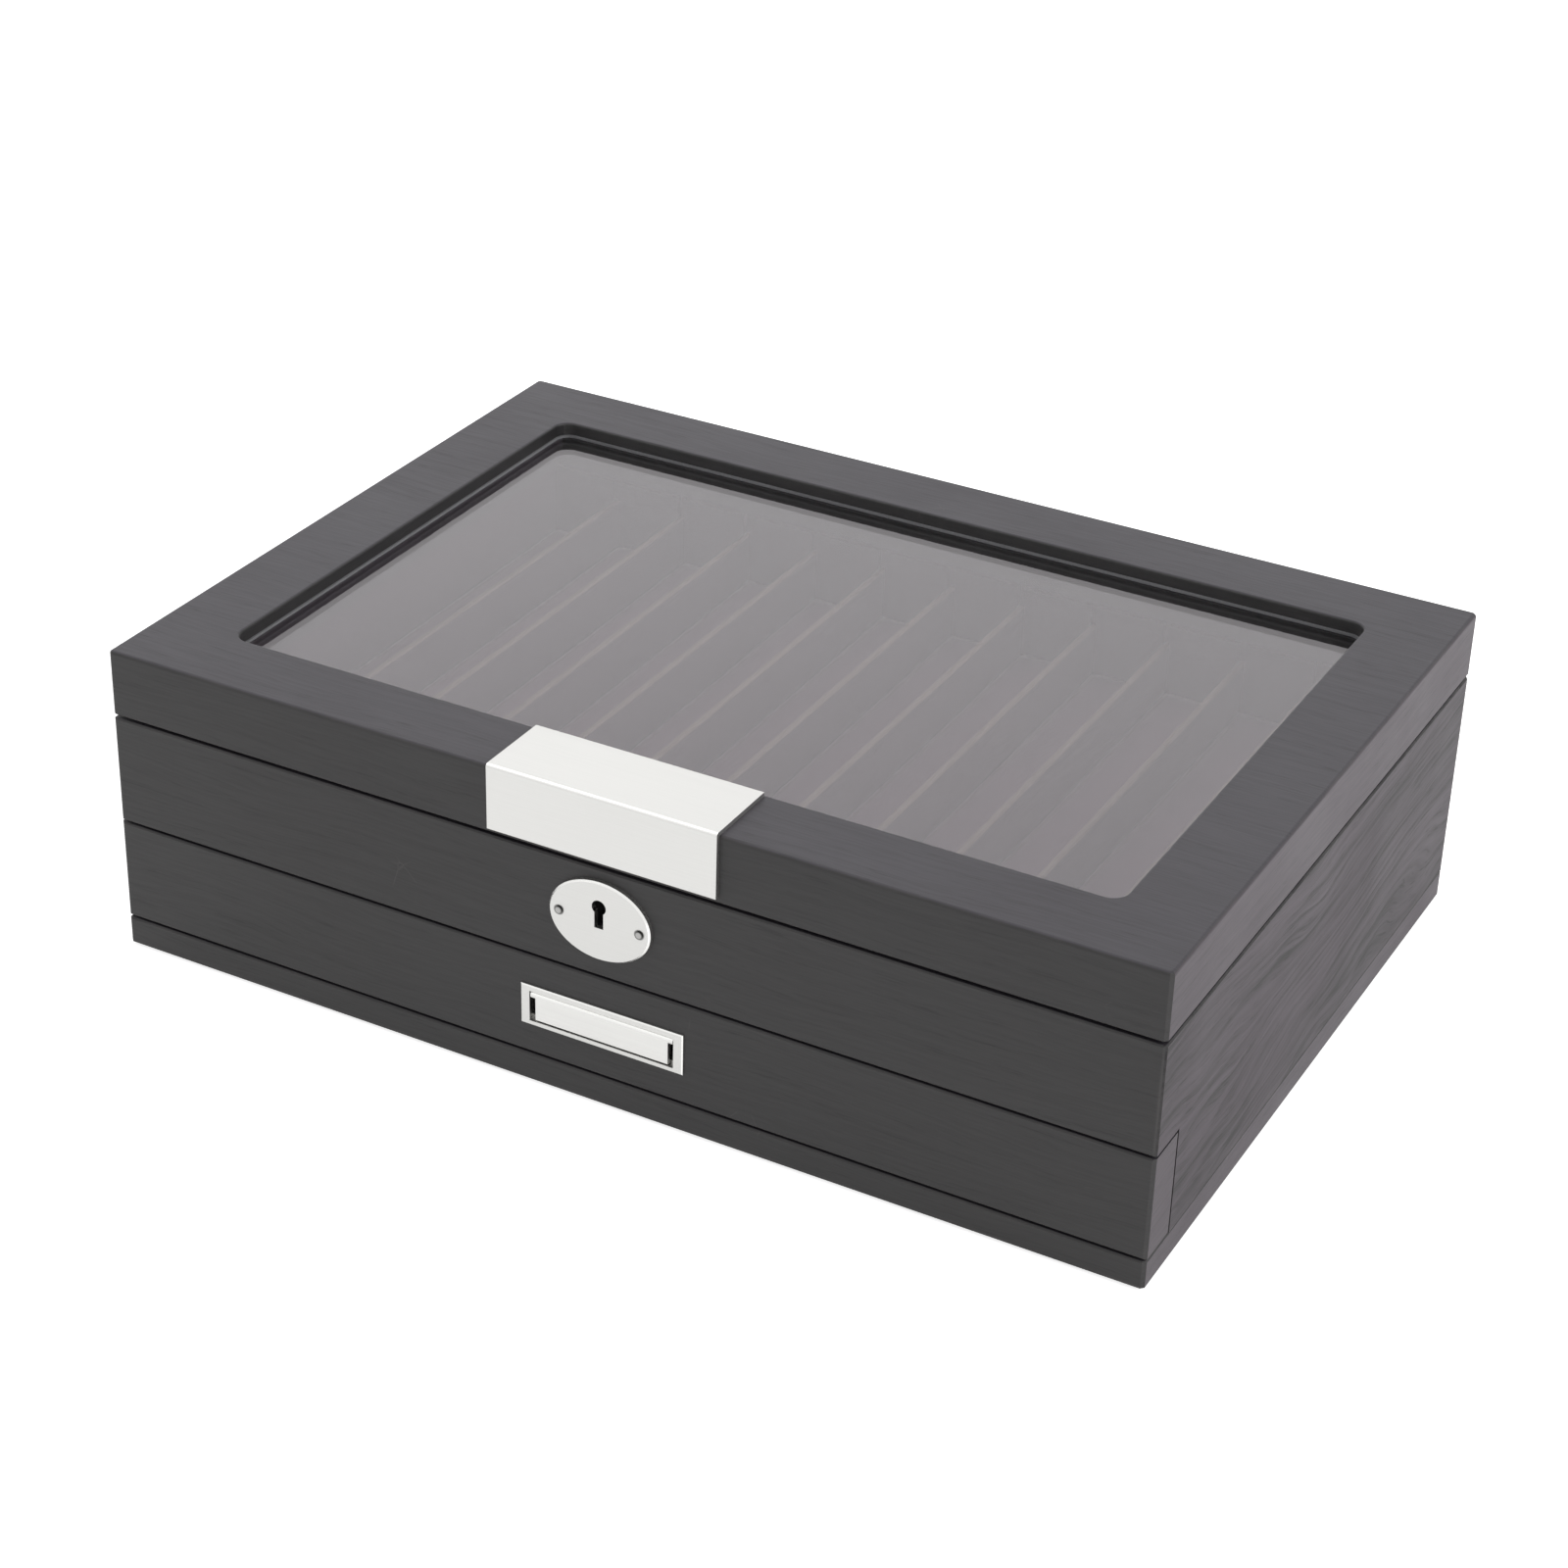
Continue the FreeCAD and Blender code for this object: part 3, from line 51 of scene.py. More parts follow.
bl_info = {
    "name": "Pen Chest",
    "version": (1, 0, 0),
    "blender": (4, 5, 0),
    "location": "View3D > Sidebar > Pen Chest",
    "description": "Dresses a glass-topped pen chest: stained veneer, satin fittings, glass, pads and felt",
    "category": "Object",
}

MM = 0.001


# ---------------------------------------------------------------- sizes and colours

def colour(name, description, default):
    return FloatVectorProperty(name=name, description=description, default=default, size=3,
                               min=0, max=1, subtype="COLOR")


def share(name, description, default):
    return FloatProperty(name=name, description=description, default=default,
                         min=0, max=1, subtype="FACTOR")


def length(name, description, default_mm):
    return FloatProperty(name=name, description=description, default=default_mm * MM,
                         min=0, unit="LENGTH")


def amount(name, description, default):
    return FloatProperty(name=name, description=description, default=default, min=0)


class VeneerSettings(bpy.types.PropertyGroup):
    stain: colour("Stain", "Colour between the grain lines on fronts and backs",
                  (0.0515, 0.0500, 0.0505))
    # painted light: the outer side faces get their own redder tone, matched to how the light falls on them
    painted_side_tone: colour("Side stain", "The same on the sides, where it took redder",
                       (0.0515, 0.0370, 0.0505))
    # painted light: the top gets its own lighter, cooler tone, matched to how the light falls on it
    painted_top_tone: colour("Top stain", "The same on the top, where light has cooled it",
                      (0.0560, 0.0515, 0.0620))
    # the grain colour is also painted as shade on side faces inside the outer ones, such as the window's
    # recess walls
    grain: colour("Grain", "Colour of the dark late wood and the open pores", (0.024, 0.023, 0.024))
    wear: colour("Wear", "Colour where the stain has rubbed off along an edge", (0.115, 0.105, 0.105))
    sheen: share("Roughness", "Roughness of the satin lacquer", 0.42)
    pore_depth: length("Pore depth", "Depth of the open pores", 0.05)


class InnerWoodSettings(bpy.types.PropertyGroup):
    pale: colour("Pale wood", "Clear wood of the drawer box", (0.34, 0.20, 0.13))
    # the dividers' faces that look up get this colour, the faces beside them the dark one
    tan: colour("Tan wood", "Lightly stained tops of the dividers", (0.108, 0.079, 0.062))
    dark: colour("Dark wood", "Stained wood of the tray walls and the divider sides",
                 (0.041, 0.024, 0.030))
    sheen: share("Roughness", "Roughness of the inner wood", 0.6)


class MetalSettings(bpy.types.PropertyGroup):
    satin: colour("Satin metal", "Colour of the plated fittings", (0.60, 0.597, 0.582))
    plain: colour("Plain steel", "Colour of the hinges, the lock and the screws", (0.56, 0.55, 0.54))
    satin_roughness: share("Satin roughness", "Roughness of the plated fittings", 0.34)
    plain_roughness: share("Steel roughness", "Roughness of the plain steel", 0.30)
    brush: share("Brush marks", "Strength of the brushed lines", 0.35)


class SoftSettings(bpy.types.PropertyGroup):
    velvet: colour("Velvet", "Colour of the slot pads", (0.056, 0.026, 0.039))
    felt: colour("Felt", "Colour of the sheet under the base", (0.030, 0.030, 0.033))
    pad_crown: length("Pad crown", "How far the middle of a pad stands over its rim", 0.5)
    pressure: amount("Pressure", "Inner pressure that fills a pad", 3.0)
    steps: IntProperty(name="Steps", description="Steps of the pad simulation", default=14,
                       min=1, max=60)


class GlassSettings(bpy.types.PropertyGroup):
    tint: colour("Tint", "Colour of the glass", (0.95, 0.95, 0.96))
    sheen: colour("Sheen", "Colour of the light that the glass throws back", (1.0, 0.91, 0.98))
    clarity: share("Clarity", "Share of the light that passes without haze", 0.995)
    seal: colour("Seal", "Colour of the glazing seal", (0.21, 0.21, 0.22))


class StageSettings(bpy.types.PropertyGroup):
    floor: colour("Floor", "Colour of the floor", (0.84, 0.84, 0.84))
    ambient: share("Ambient", "Strength of the plain light from all round", 0.42)
    key_power: amount("Key", "Power of the soft light at the right", 11.8)
    back_power: amount("Back", "Power of the soft light behind", 2.9)
    top_power: amount("Top", "Power of the soft light overhead", 7.2)
    lens: FloatProperty(name="Lens", description="Focal length of the camera", default=79.266, min=1,
                        unit="CAMERA")


SETTINGS = {
    "chest_veneer": VeneerSettings,
    "chest_inner_wood": InnerWoodSettings,
    "chest_metal": MetalSettings,
    "chest_soft": SoftSettings,
    "chest_glass": GlassSettings,
    "chest_stage": StageSettings,
}


def settings(name):
    return getattr(bpy.context.scene, name)


# ---------------------------------------------------------------- shader helpers

def connect(tree, node, inputs):
    for key, value in inputs.items():
        if isinstance(value, bpy.types.NodeSocket):
            tree.links.new(value, node.inputs[key])
        else:
            node.inputs[key].default_value = value


def add_node(tree, kind, inputs=None, **values):
    """A shader node with its properties set; an input is a plain value or an output to link from."""
    node = tree.nodes.new("ShaderNode" + kind)
    for name, value in values.items():
        setattr(node, name, value)
    connect(tree, node, inputs or {})
    return node


def math_node(tree, operation, first, second=0.0, clamp=False):
    node = add_node(tree, "Math", {0: first, 1: second}, operation=operation, use_clamp=clamp)
    return node.outputs[0]


def times(tree, first, second):
    return math_node(tree, "MULTIPLY", first, second)


def plus(tree, first, second, clamp=False):
    return math_node(tree, "ADD", first, second, clamp)


def hypotenuse(tree, first, second):
    return math_node(tree, "SQRT", plus(tree, times(tree, first, first), times(tree, second, second)))


def falling_off(tree, distance, width):
    """1 at no distance, falling to 0 at the width."""
    return math_node(tree, "SUBTRACT", 1.0, math_node(tree, "DIVIDE", distance, width), clamp=True)


def vector_node(tree, operation, first, second=(0, 0, 0)):
    return add_node(tree, "VectorMath", {0: first, 1: second}, operation=operation).outputs[0]


def split(tree, vector):
    return add_node(tree, "SeparateXYZ", {0: vector}).outputs


def joined(tree, x=0.0, y=0.0, z=0.0):
    return add_node(tree, "CombineXYZ", {0: x, 1: y, 2: z}).outputs[0]


def mottle(tree, place, scale=1.0, detail=2.0, roughness=0.5, distortion=0.0):
    return add_node(tree, "TexNoise", {"Vector": place, "Scale": scale, "Detail": detail,
                                       "Roughness": roughness, "Distortion": distortion}).outputs["Fac"]


def remap(tree, value, low, high, out_low=0.0, out_high=1.0):
    node = add_node(tree, "MapRange", {"Value": value, "From Min": low, "From Max": high,
                                       "To Min": out_low, "To Max": out_high})
    return node.outputs["Result"]


def mix_vector(tree, factor, first, second):
    return add_node(tree, "Mix", {0: factor, 4: first, 5: second}, data_type="VECTOR").outputs[1]


def mix_colour(tree, factor, first, second):
    first, second = (value if isinstance(value, bpy.types.NodeSocket) else (*value, 1)
                     for value in (first, second))
    return add_node(tree, "Mix", {0: factor, 6: first, 7: second}, data_type="RGBA").outputs[2]


def bump(tree, height, distance, strength):
    return add_node(tree, "Bump", {"Height": height, "Distance": distance,
                                   "Strength": strength}).outputs[0]


def shaded(tint, strength):
    """A plain colour made lighter or darker, never over white."""
    return [min(1, channel * strength) for channel in tint]


def place_of(tree):
    """The outputs of Texture Coordinate: the piece's own place and normal."""
    return add_node(tree, "TexCoord").outputs


def new_group(name, inputs, outputs):
    """An empty shader group with named sockets, with its input and output nodes."""
    group = bpy.data.node_groups.new(name, "ShaderNodeTree")
    for socket_name, kind, default in inputs:
        socket = group.interface.new_socket(socket_name, in_out="INPUT",
                                            socket_type="NodeSocket" + kind)
        if default is not None:
            socket.default_value = default
    for socket_name, kind in outputs:
        group.interface.new_socket(socket_name, in_out="OUTPUT", socket_type="NodeSocket" + kind)
    return group, group.nodes.new("NodeGroupInput").outputs, group.nodes.new("NodeGroupOutput").inputs


def put_out(group, out, **results):
    """Links results to the group's outputs; an underscore stands for the space in a name."""
    for key, value in results.items():
        group.links.new(value, out[key.replace("_", " ")])
    return group


def effect(tree, name, inputs):
    """A shared effect placed in a material, built the first time that it is asked for."""
    node = tree.nodes.new("ShaderNodeGroup")
    node.node_tree = bpy.data.node_groups.get(name) or EFFECTS[name]()
    connect(tree, node, inputs)
    return node.outputs


def new_material(name, **plain):
    """A material with one Principled shader whose plain values are set, its tree and its shader."""
    material = bpy.data.materials.new(name)
    material.use_nodes = True
    tree = material.node_tree
    shader = tree.nodes["Principled BSDF"]
    for key, value in plain.items():
        socket = shader.inputs[key.replace("_", " ").title().replace("Ior", "IOR")]
        socket.default_value = (*value, 1) if hasattr(value, "__len__") and len(value) == 3 else value
    return material, tree, shader


def finished(material, tree, shader, body, rough, relief):
    """Links the colour, the roughness and the normal that a finish is made of."""
    connect(tree, shader, {"Base Color": body, "Roughness": rough, "Normal": relief})
    return material


# ---------------------------------------------------------------- shared effects

FACING = 0.75  # a face looks along an axis where its normal passes this


def grain_direction_group():
    """Turns the place so that X runs along the grain, which is the width, or the depth on side faces.

    Side and Top are 1 on the faces that look that way."""
    group, given, out = new_group(
        "Grain Direction", [("Place", "Vector", None), ("Normal", "Vector", None)],
        [("Along Grain", "Vector"), ("Side", "Float"), ("Top", "Float")])
    x, y, z = split(group, given["Place"])
    facing = split(group, given["Normal"])
    side = math_node(group, "GREATER_THAN", math_node(group, "ABSOLUTE", facing[0]), FACING)
    flat = math_node(group, "GREATER_THAN", math_node(group, "ABSOLUTE", facing[2]), FACING)
    front_or_top = mix_vector(group, flat, joined(group, x, z, y), joined(group, x, y, z))
    chosen = mix_vector(group, side, front_or_top, joined(group, y, z, x))
    return put_out(group, out, Along_Grain=chosen, Side=side, Top=flat)


# waves per metre along the grain, across it and into the board
SWAY_WAVES = (9.0, 24.0, 24.0)
JITTER_WAVES = (30.0, 260.0, 260.0)
PATCH_WAVES = (17.0, 170.0, 170.0)
PORE_WAVES = (85.0, 1500.0, 1500.0)
BAND_WAVES = (5.0, 42.0, 42.0)
MIDDLE = 0.5            # the middle of the range that a mottle gives
SWAY_REACH = 20 * MM    # how far a grain line wanders at full waviness
RING_JITTER = 4.5 * MM  # how uneven the rings are
CONE_TAPER = 0.13       # how fast the rings' cone widens along the board
CONE_START = 16 * MM    # the cone's radius at the heart
LATE_START, LATE_END = 0.15, 0.82  # the part of a ring over which its wood darkens
LATE_CURVE = 1.4        # over 1, it darkens slowly at first
STREAK_LENGTH = 0.045   # a streak's width as a share of its length
STREAK_RISE = 0.3       # how far a streak stands up, as a share of a pore's depth


def wood_figure_group():
    """Growth rings cut into long arches, wavy fibre streaks and short open pores, all along X."""
    group, given, out = new_group(
        "Wood Figure",
        [("Along Grain", "Vector", None), ("Heart", "Vector", (0.0, 0.0, 0.0)),
         ("Ring Gap", "Float", 0.005), ("Streak Width", "Float", 0.001), ("Waviness", "Float", 1.0)],
        [("Rings", "Float"), ("Streaks", "Float"), ("Pores", "Float"), ("Bands", "Float"),
         ("Height", "Float")])
    moved = vector_node(group, "ADD", given["Along Grain"], given["Heart"])

    def waves(place, scale, detail=2.0, roughness=0.5):
        stretched = vector_node(group, "MULTIPLY", place, scale)
        return mottle(group, stretched, detail=detail, roughness=roughness)

    wander = math_node(group, "SUBTRACT", waves(moved, SWAY_WAVES), MIDDLE)
    sway = times(group, wander, times(group, given["Waviness"], SWAY_REACH))
    swayed = vector_node(group, "ADD", moved, joined(group, y=sway))
    parts = split(group, swayed)
    # the rings are slim cones along the board, so a flat cut shows arches
    depth = plus(group, times(group, parts[0], CONE_TAPER), CONE_START)
    radius = hypotenuse(group, parts[1], depth)
    jitter = times(group, waves(swayed, JITTER_WAVES, detail=3.0, roughness=0.6), RING_JITTER)
    ring = math_node(group, "DIVIDE", plus(group, radius, jitter), given["Ring Gap"])
    saw = math_node(group, "FRACT", ring)
    late = math_node(group, "POWER", remap(group, saw, low=LATE_START, high=LATE_END), LATE_CURVE)
    patch = remap(group, waves(swayed, PATCH_WAVES), low=0.42, high=0.60)
    ending = remap(group, saw, low=LATE_END, high=1.0, out_low=1.0, out_high=0.0)
    rings = math_node(group, "MULTIPLY", times(group, late, patch), ending, clamp=True)
    across = math_node(group, "DIVIDE", 1.0, given["Streak Width"])
    streak_waves = joined(group, times(group, across, STREAK_LENGTH), across, across)
    streaks = remap(group, waves(swayed, streak_waves, detail=2.5, roughness=0.6), low=0.38, high=0.62)
    pores = times(group, remap(group, waves(swayed, PORE_WAVES, roughness=0.6), low=0.55, high=0.66),
                  remap(group, rings, low=0.0, high=0.6, out_low=0.4, out_high=1.0))
    height = math_node(group, "SUBTRACT", times(group, streaks, STREAK_RISE), pores)
    bands = remap(group, waves(swayed, BAND_WAVES), low=0.35, high=0.65)
    return put_out(group, out, Rings=rings, Streaks=streaks, Pores=pores, Bands=bands, Height=height)


def edge_wear_group():
    """A mask that is 1 on the edges of a board of a given size and breaks up into rubbed spots."""
    group, given, out = new_group(
        "Edge Wear",
        [("Place", "Vector", None), ("Centre", "Vector", (0.0, 0.0, 0.0)),
         ("Half Size", "Vector", (0.1, 0.1, 0.1)), ("Width", "Float", 0.0012)],
        [("Wear", "Float")])
    from_centre = vector_node(group, "SUBTRACT", given["Place"], given["Centre"])
    away = vector_node(group, "ABSOLUTE", from_centre)
    x, y, z = split(group, vector_node(group, "SUBTRACT", given["Half Size"], away))
    # an edge is where two of the three distances to the faces are small
    low, high = math_node(group, "MINIMUM", x, y), math_node(group, "MAXIMUM", x, y)
    second = math_node(group, "MAXIMUM", low, math_node(group, "MINIMUM", high, z))
    near = falling_off(group, second, given["Width"])
    spots = mottle(group, given["Place"], scale=55.0, detail=4.0)
    broken = remap(group, spots, low=0.42, high=0.66)
    return put_out(group, out, Wear=math_node(group, "MULTIPLY", near, broken, clamp=True))


def handling_group():
    """Soft smears of handling and the odd short scuff."""
    group, given, out = new_group("Handling", [("Place", "Vector", None), ("Amount", "Float", 1.0)],
                                  [("Smear", "Float"), ("Scuff", "Float")])
    wide = mottle(group, given["Place"], scale=14.0, detail=5.0, roughness=0.6)
    smear = times(group, remap(group, wide, low=0.35, high=0.7), given["Amount"])
    cells = add_node(group, "TexVoronoi", {"Vector": given["Place"], "Scale": 120.0},
                     feature="DISTANCE_TO_EDGE")
    thin = remap(group, cells.outputs["Distance"], low=0.0, high=0.03, out_low=1.0, out_high=0.0)
    rare = remap(group, mottle(group, given["Place"], scale=45.0, detail=3.0), low=0.68, high=0.74)
    scuff = times(group, times(group, thin, rare), given["Amount"])
    return put_out(group, out, Smear=smear, Scuff=scuff)


def brushed_group():
    """Fine parallel brush lines; Stretch is small along the lines and large across them."""
    group, given, out = new_group(
        "Brushed Lines", [("Place", "Vector", None), ("Stretch", "Vector", (1, 1, 1))],
        [("Line", "Float"), ("Cloud", "Float")])
    stretched = vector_node(group, "MULTIPLY", given["Place"], given["Stretch"])
    line = mottle(group, stretched, detail=3.0, roughness=0.7)
    cloud = mottle(group, given["Place"], scale=60.0, detail=3.0)
    return put_out(group, out, Line=line, Cloud=cloud)


def shade_and_grime_ring_group():
    """A ring of painted shade and grime round a pin head, the same on the left and the right."""
    group, given, out = new_group(
        "Grime Ring",
        [("Place", "Vector", None), ("Across", "Float", 0.01), ("Up", "Float", 0.0),
         ("Radius", "Float", 0.001), ("Width", "Float", 0.0005)],
        [("Grime", "Float")])
    x, _, z = split(group, given["Place"])
    across = math_node(group, "SUBTRACT", math_node(group, "ABSOLUTE", x), given["Across"])
    away = hypotenuse(group, across, math_node(group, "SUBTRACT", z, given["Up"]))
    off = math_node(group, "ABSOLUTE", math_node(group, "SUBTRACT", away, given["Radius"]))
    return put_out(group, out, Grime=falling_off(group, off, given["Width"]))


def bevel_group():
    """A mask that is 1 on broken edges, which face between the main directions."""
    group, given, out = new_group("Bevel", [("Normal", "Vector", None)], [("Bevel", "Float")])
    x, y, z = split(group, vector_node(group, "ABSOLUTE", given["Normal"]))
    most = math_node(group, "MAXIMUM", math_node(group, "MAXIMUM", x, y), z)
    slanted = remap(group, most, low=0.85, high=0.985, out_low=1.0, out_high=0.0)
    return put_out(group, out, Bevel=slanted)


def pile_group():
    """Short matted pile: fine fibres, and brushed patches that the fabric paints lighter as sheen."""
    group, given, out = new_group("Pile", [("Place", "Vector", None), ("Fibre", "Float", 1800.0)],
                                  [("Nap", "Float"), ("Fibres", "Float")])
    fibres = mottle(group, given["Place"], scale=given["Fibre"], detail=3.0, roughness=0.75)
    patches = mottle(group, given["Place"], scale=38.0, detail=4.0, distortion=0.6)
    return put_out(group, out, Nap=remap(group, patches, low=0.35, high=0.68), Fibres=fibres)


EFFECTS = {
    "Grain Direction": grain_direction_group,
    "Wood Figure": wood_figure_group,
    "Edge Wear": edge_wear_group,
    "Handling": handling_group,
    "Brushed Lines": brushed_group,
    "Grime Ring": shade_and_grime_ring_group,
    "Bevel": bevel_group,
    "Pile": pile_group,
}


# ---------------------------------------------------------------- finishes

# how dark each mark of the grain is: on the plainest board, and what the figure adds
GRAIN_MARKS = (("Streaks", 0.16, 0.3), ("Bands", 0.0, 0.45), ("Pores", 0.25, 0.7))
# how much of the worn colour shows through
SMEAR_SHOWS, EDGE_SHOWS, SCUFF_SHOWS = 0.06, 0.35, 0.3
# what smears and dark grain add to the lacquer's roughness
SMEAR_ROUGHER, GRAIN_ROUGHER = 0.08, 0.12
OUTER = 0.95  # a side face further out than this share of its board is an outer one


def veneer(name, node, heart, figure=0.15, streak_mm=1.0, waviness=0.6, ring_mm=5.5, gloss=0.37):
    """Stained open-pore veneer for one board, with its own figure and wear along its own edges, with
    painted light in its own tones on the sides and the top, and painted shade in the grain colour on inner
    side faces.

    The figure says how strongly the grain shows, the gloss how much light the lacquer throws back."""
    look = settings("chest_veneer")
    material, tree, shader = new_material(name, ior=1.45, specular_ior_level=gloss)
    place = place_of(tree)
    low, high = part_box(node)
    along = effect(tree, "Grain Direction", {"Place": place["Object"], "Normal": place["Normal"]})
    wood = effect(tree, "Wood Figure", {"Along Grain": along["Along Grain"], "Heart": heart,
                                        "Ring Gap": ring_mm * MM, "Streak Width": streak_mm * MM,
                                        "Waviness": waviness})
    wear = effect(tree, "Edge Wear", {"Place": place["Object"], "Centre": (low + high) / 2,
                                      "Half Size": (high - low) / 2})["Wear"]
    hand = effect(tree, "Handling", {"Place": place["Object"]})
    # painted shade: side faces inside the outer ones, such as the window's recess walls, get the grain
    # colour
    sideways = math_node(tree, "ABSOLUTE", split(tree, place["Object"])[0])
    outside = math_node(tree, "GREATER_THAN", sideways, OUTER * high.x)
    painted_side_tone = mix_colour(tree, outside, look.grain, look.painted_side_tone)
    # painted light: the outer sides and the top get their own tones, matched to how the light falls on them
    stain = mix_colour(tree, along["Side"], look.stain, painted_side_tone)
    stain = mix_colour(tree, along["Top"], stain, look.painted_top_tone)
    dark = times(tree, wood["Rings"], figure)
    for mark, plain, added in GRAIN_MARKS:
        dark = plus(tree, dark, times(tree, wood[mark], plain + added * figure), clamp=True)
    body = mix_colour(tree, dark, stain, look.grain)
    for mark, shows in ((hand["Smear"], SMEAR_SHOWS), (wear, EDGE_SHOWS), (hand["Scuff"], SCUFF_SHOWS)):
        body = mix_colour(tree, times(tree, mark, shows), body, look.wear)
    rough = plus(tree, look.sheen, times(tree, hand["Smear"], SMEAR_ROUGHER))
    rough = plus(tree, rough, times(tree, dark, GRAIN_ROUGHER), clamp=True)
    relief = bump(tree, wood["Height"], distance=look.pore_depth, strength=0.4)
    return finished(material, tree, shader, body, rough, relief)


# how strongly each mark of the grain shows on inner wood
INNER_MARKS = (("Rings", 0.45), ("Streaks", 0.3), ("Pores", 0.4))
INNER_DEEP = 0.62     # the colour of a mark, as a share of the wood's
INNER_RINGS = 4 * MM  # from ring to ring
INNER_ROUGHER = 0.12  # what streaks add to the roughness


def inner_wood(name, heart, tint, upward_tint=None, front_to_back=False):
    """Plain wood inside the chest, with its grain along the width or from front to back.

    An upward tint is the colour given to faces that look up."""
    look = settings("chest_inner_wood")
    material, tree, shader = new_material(name, ior=1.4)
    place = place_of(tree)
    along = place["Object"]
    if front_to_back:
        x, y, z = split(tree, along)
        along = joined(tree, y, z, x)
    wood = effect(tree, "Wood Figure", {"Along Grain": along, "Heart": heart, "Ring Gap": INNER_RINGS})

    def figured(shade):
        deep = shaded(shade, INNER_DEEP)
        body = shade
        for mark, strength in INNER_MARKS:
            body = mix_colour(tree, times(tree, wood[mark], strength), body, deep)
        return body

    body = figured(tint)
    if upward_tint:
        looks_up = remap(tree, split(tree, place["Normal"])[2], low=0.5, high=0.6)
        body = mix_colour(tree, looks_up, body, figured(upward_tint))
    rough = plus(tree, look.sheen, times(tree, wood["Streaks"], INNER_ROUGHER))
    relief = bump(tree, wood["Height"], distance=0.04 * MM, strength=0.5)
    return finished(material, tree, shader, body, rough, relief)


# painted shade and grime round a pin head, standing for a shadowed dimple: its colour, the ring's width and
# how much it covers
PIN_SHADE_AND_GRIME = (0.04, 0.04, 0.038)
SHADE_AND_GRIME_WIDTH = 0.45 * MM
SHADE_AND_GRIME_COVERS = 0.9
FINGERMARKS = 0.7       # how much a fitting has been handled
LINE_DEEP = 0.55        # the colour in a brush line, as a share of the metal's
LINE_SHOWS = 0.4        # how much of that colour shows at full brush marks
# what a brush line takes from the roughness, and what the metal beside it adds
LINE_SMOOTHER, LINE_ROUGHER = 0.06, 0.08
EDGE_HIGHLIGHT = 1.5       # the colour of a painted highlight on broken edges, as a share of the metal's
EDGE_SMOOTHER = 0.12    # what polishing takes from the roughness
FINGER_ROUGHER = 0.07   # what fingermarks add to it


def pin_head():
    """The radius of the escutcheon's pin heads, how far they lie from the middle, and their height."""
    low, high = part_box("escutcheon_pins")
    radius = (high.z - low.z) / 2
    return radius, high.x - radius, (low.z + high.z) / 2


def brushed_metal(name, tint, roughness, stretch, shade_and_grime_ring=0):
    """Plated or plain metal with brush lines, smoother edges with a painted highlight, soft clouding and
    fingermarks.

    The shade and grime ring is the radius of the painted shade and grime round the escutcheon's pins, or 0
    for none."""
    look = settings("chest_metal")
    material, tree, shader = new_material(name, metallic=1.0)
    place = place_of(tree)
    lines = effect(tree, "Brushed Lines", {"Place": place["Object"], "Stretch": stretch})
    hand = effect(tree, "Handling", {"Place": place["Object"], "Amount": FINGERMARKS})
    edge = effect(tree, "Bevel", {"Normal": place["Normal"]})["Bevel"]
    lined = remap(tree, lines["Line"], low=0.3, high=0.7, out_low=look.brush * LINE_SHOWS, out_high=0.0)
    body = mix_colour(tree, lined, tint, shaded(tint, LINE_DEEP))
    # painted highlight along broken edges
    body = mix_colour(tree, edge, body, shaded(tint, EDGE_HIGHLIGHT))
    if shade_and_grime_ring:
        across, up = pin_head()[1:]
        shade_and_grime = effect(tree, "Grime Ring", {"Place": place["Object"], "Across": across, "Up": up,
                                            "Radius": shade_and_grime_ring, "Width": SHADE_AND_GRIME_WIDTH})["Grime"]
        # painted shade and grime round the pins
        body = mix_colour(tree, times(tree, shade_and_grime, SHADE_AND_GRIME_COVERS), body, PIN_SHADE_AND_GRIME)
    rough = remap(tree, lines["Line"], low=0.25, high=0.75, out_low=roughness - LINE_SMOOTHER,
                  out_high=roughness + LINE_ROUGHER)
    rough = plus(tree, rough, times(tree, hand["Smear"], FINGER_ROUGHER))
    rough = math_node(tree, "SUBTRACT", rough, times(tree, edge, EDGE_SMOOTHER), clamp=True)
    height = plus(tree, times(tree, lines["Line"], look.brush), lines["Cloud"])
    relief = bump(tree, height, distance=0.02 * MM, strength=0.25)
    return finished(material, tree, shader, body, rough, relief)


NAP_SHEEN = 1.7    # painted sheen: the colour of a brushed patch and of a fleck, as a share of the fabric's
NAP_SHOWS = 0.5  # how much of that colour a brushed patch shows
PILE_LEAST, PILE_MOST = 0.82, 0.98  # the roughness between the fibres and on them


def pile_fabric(name, tint, fibre, sheen, depth, fleck=0.5):
    """Velvet or felt with a brushed nap painted lighter as sheen, and lighter flecks of painted sheen;
    fibre is how many fibres there are in a metre.
    """
    material, tree, shader = new_material(name, sheen_weight=sheen, sheen_roughness=0.4)
    pile = effect(tree, "Pile", {"Place": place_of(tree)["Object"], "Fibre": fibre})
    painted_sheen = shaded(tint, NAP_SHEEN)
    # painted sheen on brushed patches and flecks
    body = mix_colour(tree, times(tree, pile["Nap"], NAP_SHOWS), tint, painted_sheen)
    flecks = remap(tree, pile["Fibres"], low=0.5, high=0.75, out_low=0.0, out_high=fleck)
    body = mix_colour(tree, flecks, body, painted_sheen)
    rough = remap(tree, pile["Fibres"], low=0.2, high=0.8, out_low=PILE_LEAST, out_high=PILE_MOST)
    relief = bump(tree, pile["Fibres"], distance=depth, strength=0.35)
    return finished(material, tree, shader, body, rough, relief)


HAZE = 0.015          # the glass's roughness where it is smeared most
LAMPLIGHT_IN = 0.96   # the share of a lamp's light that the glass lets in


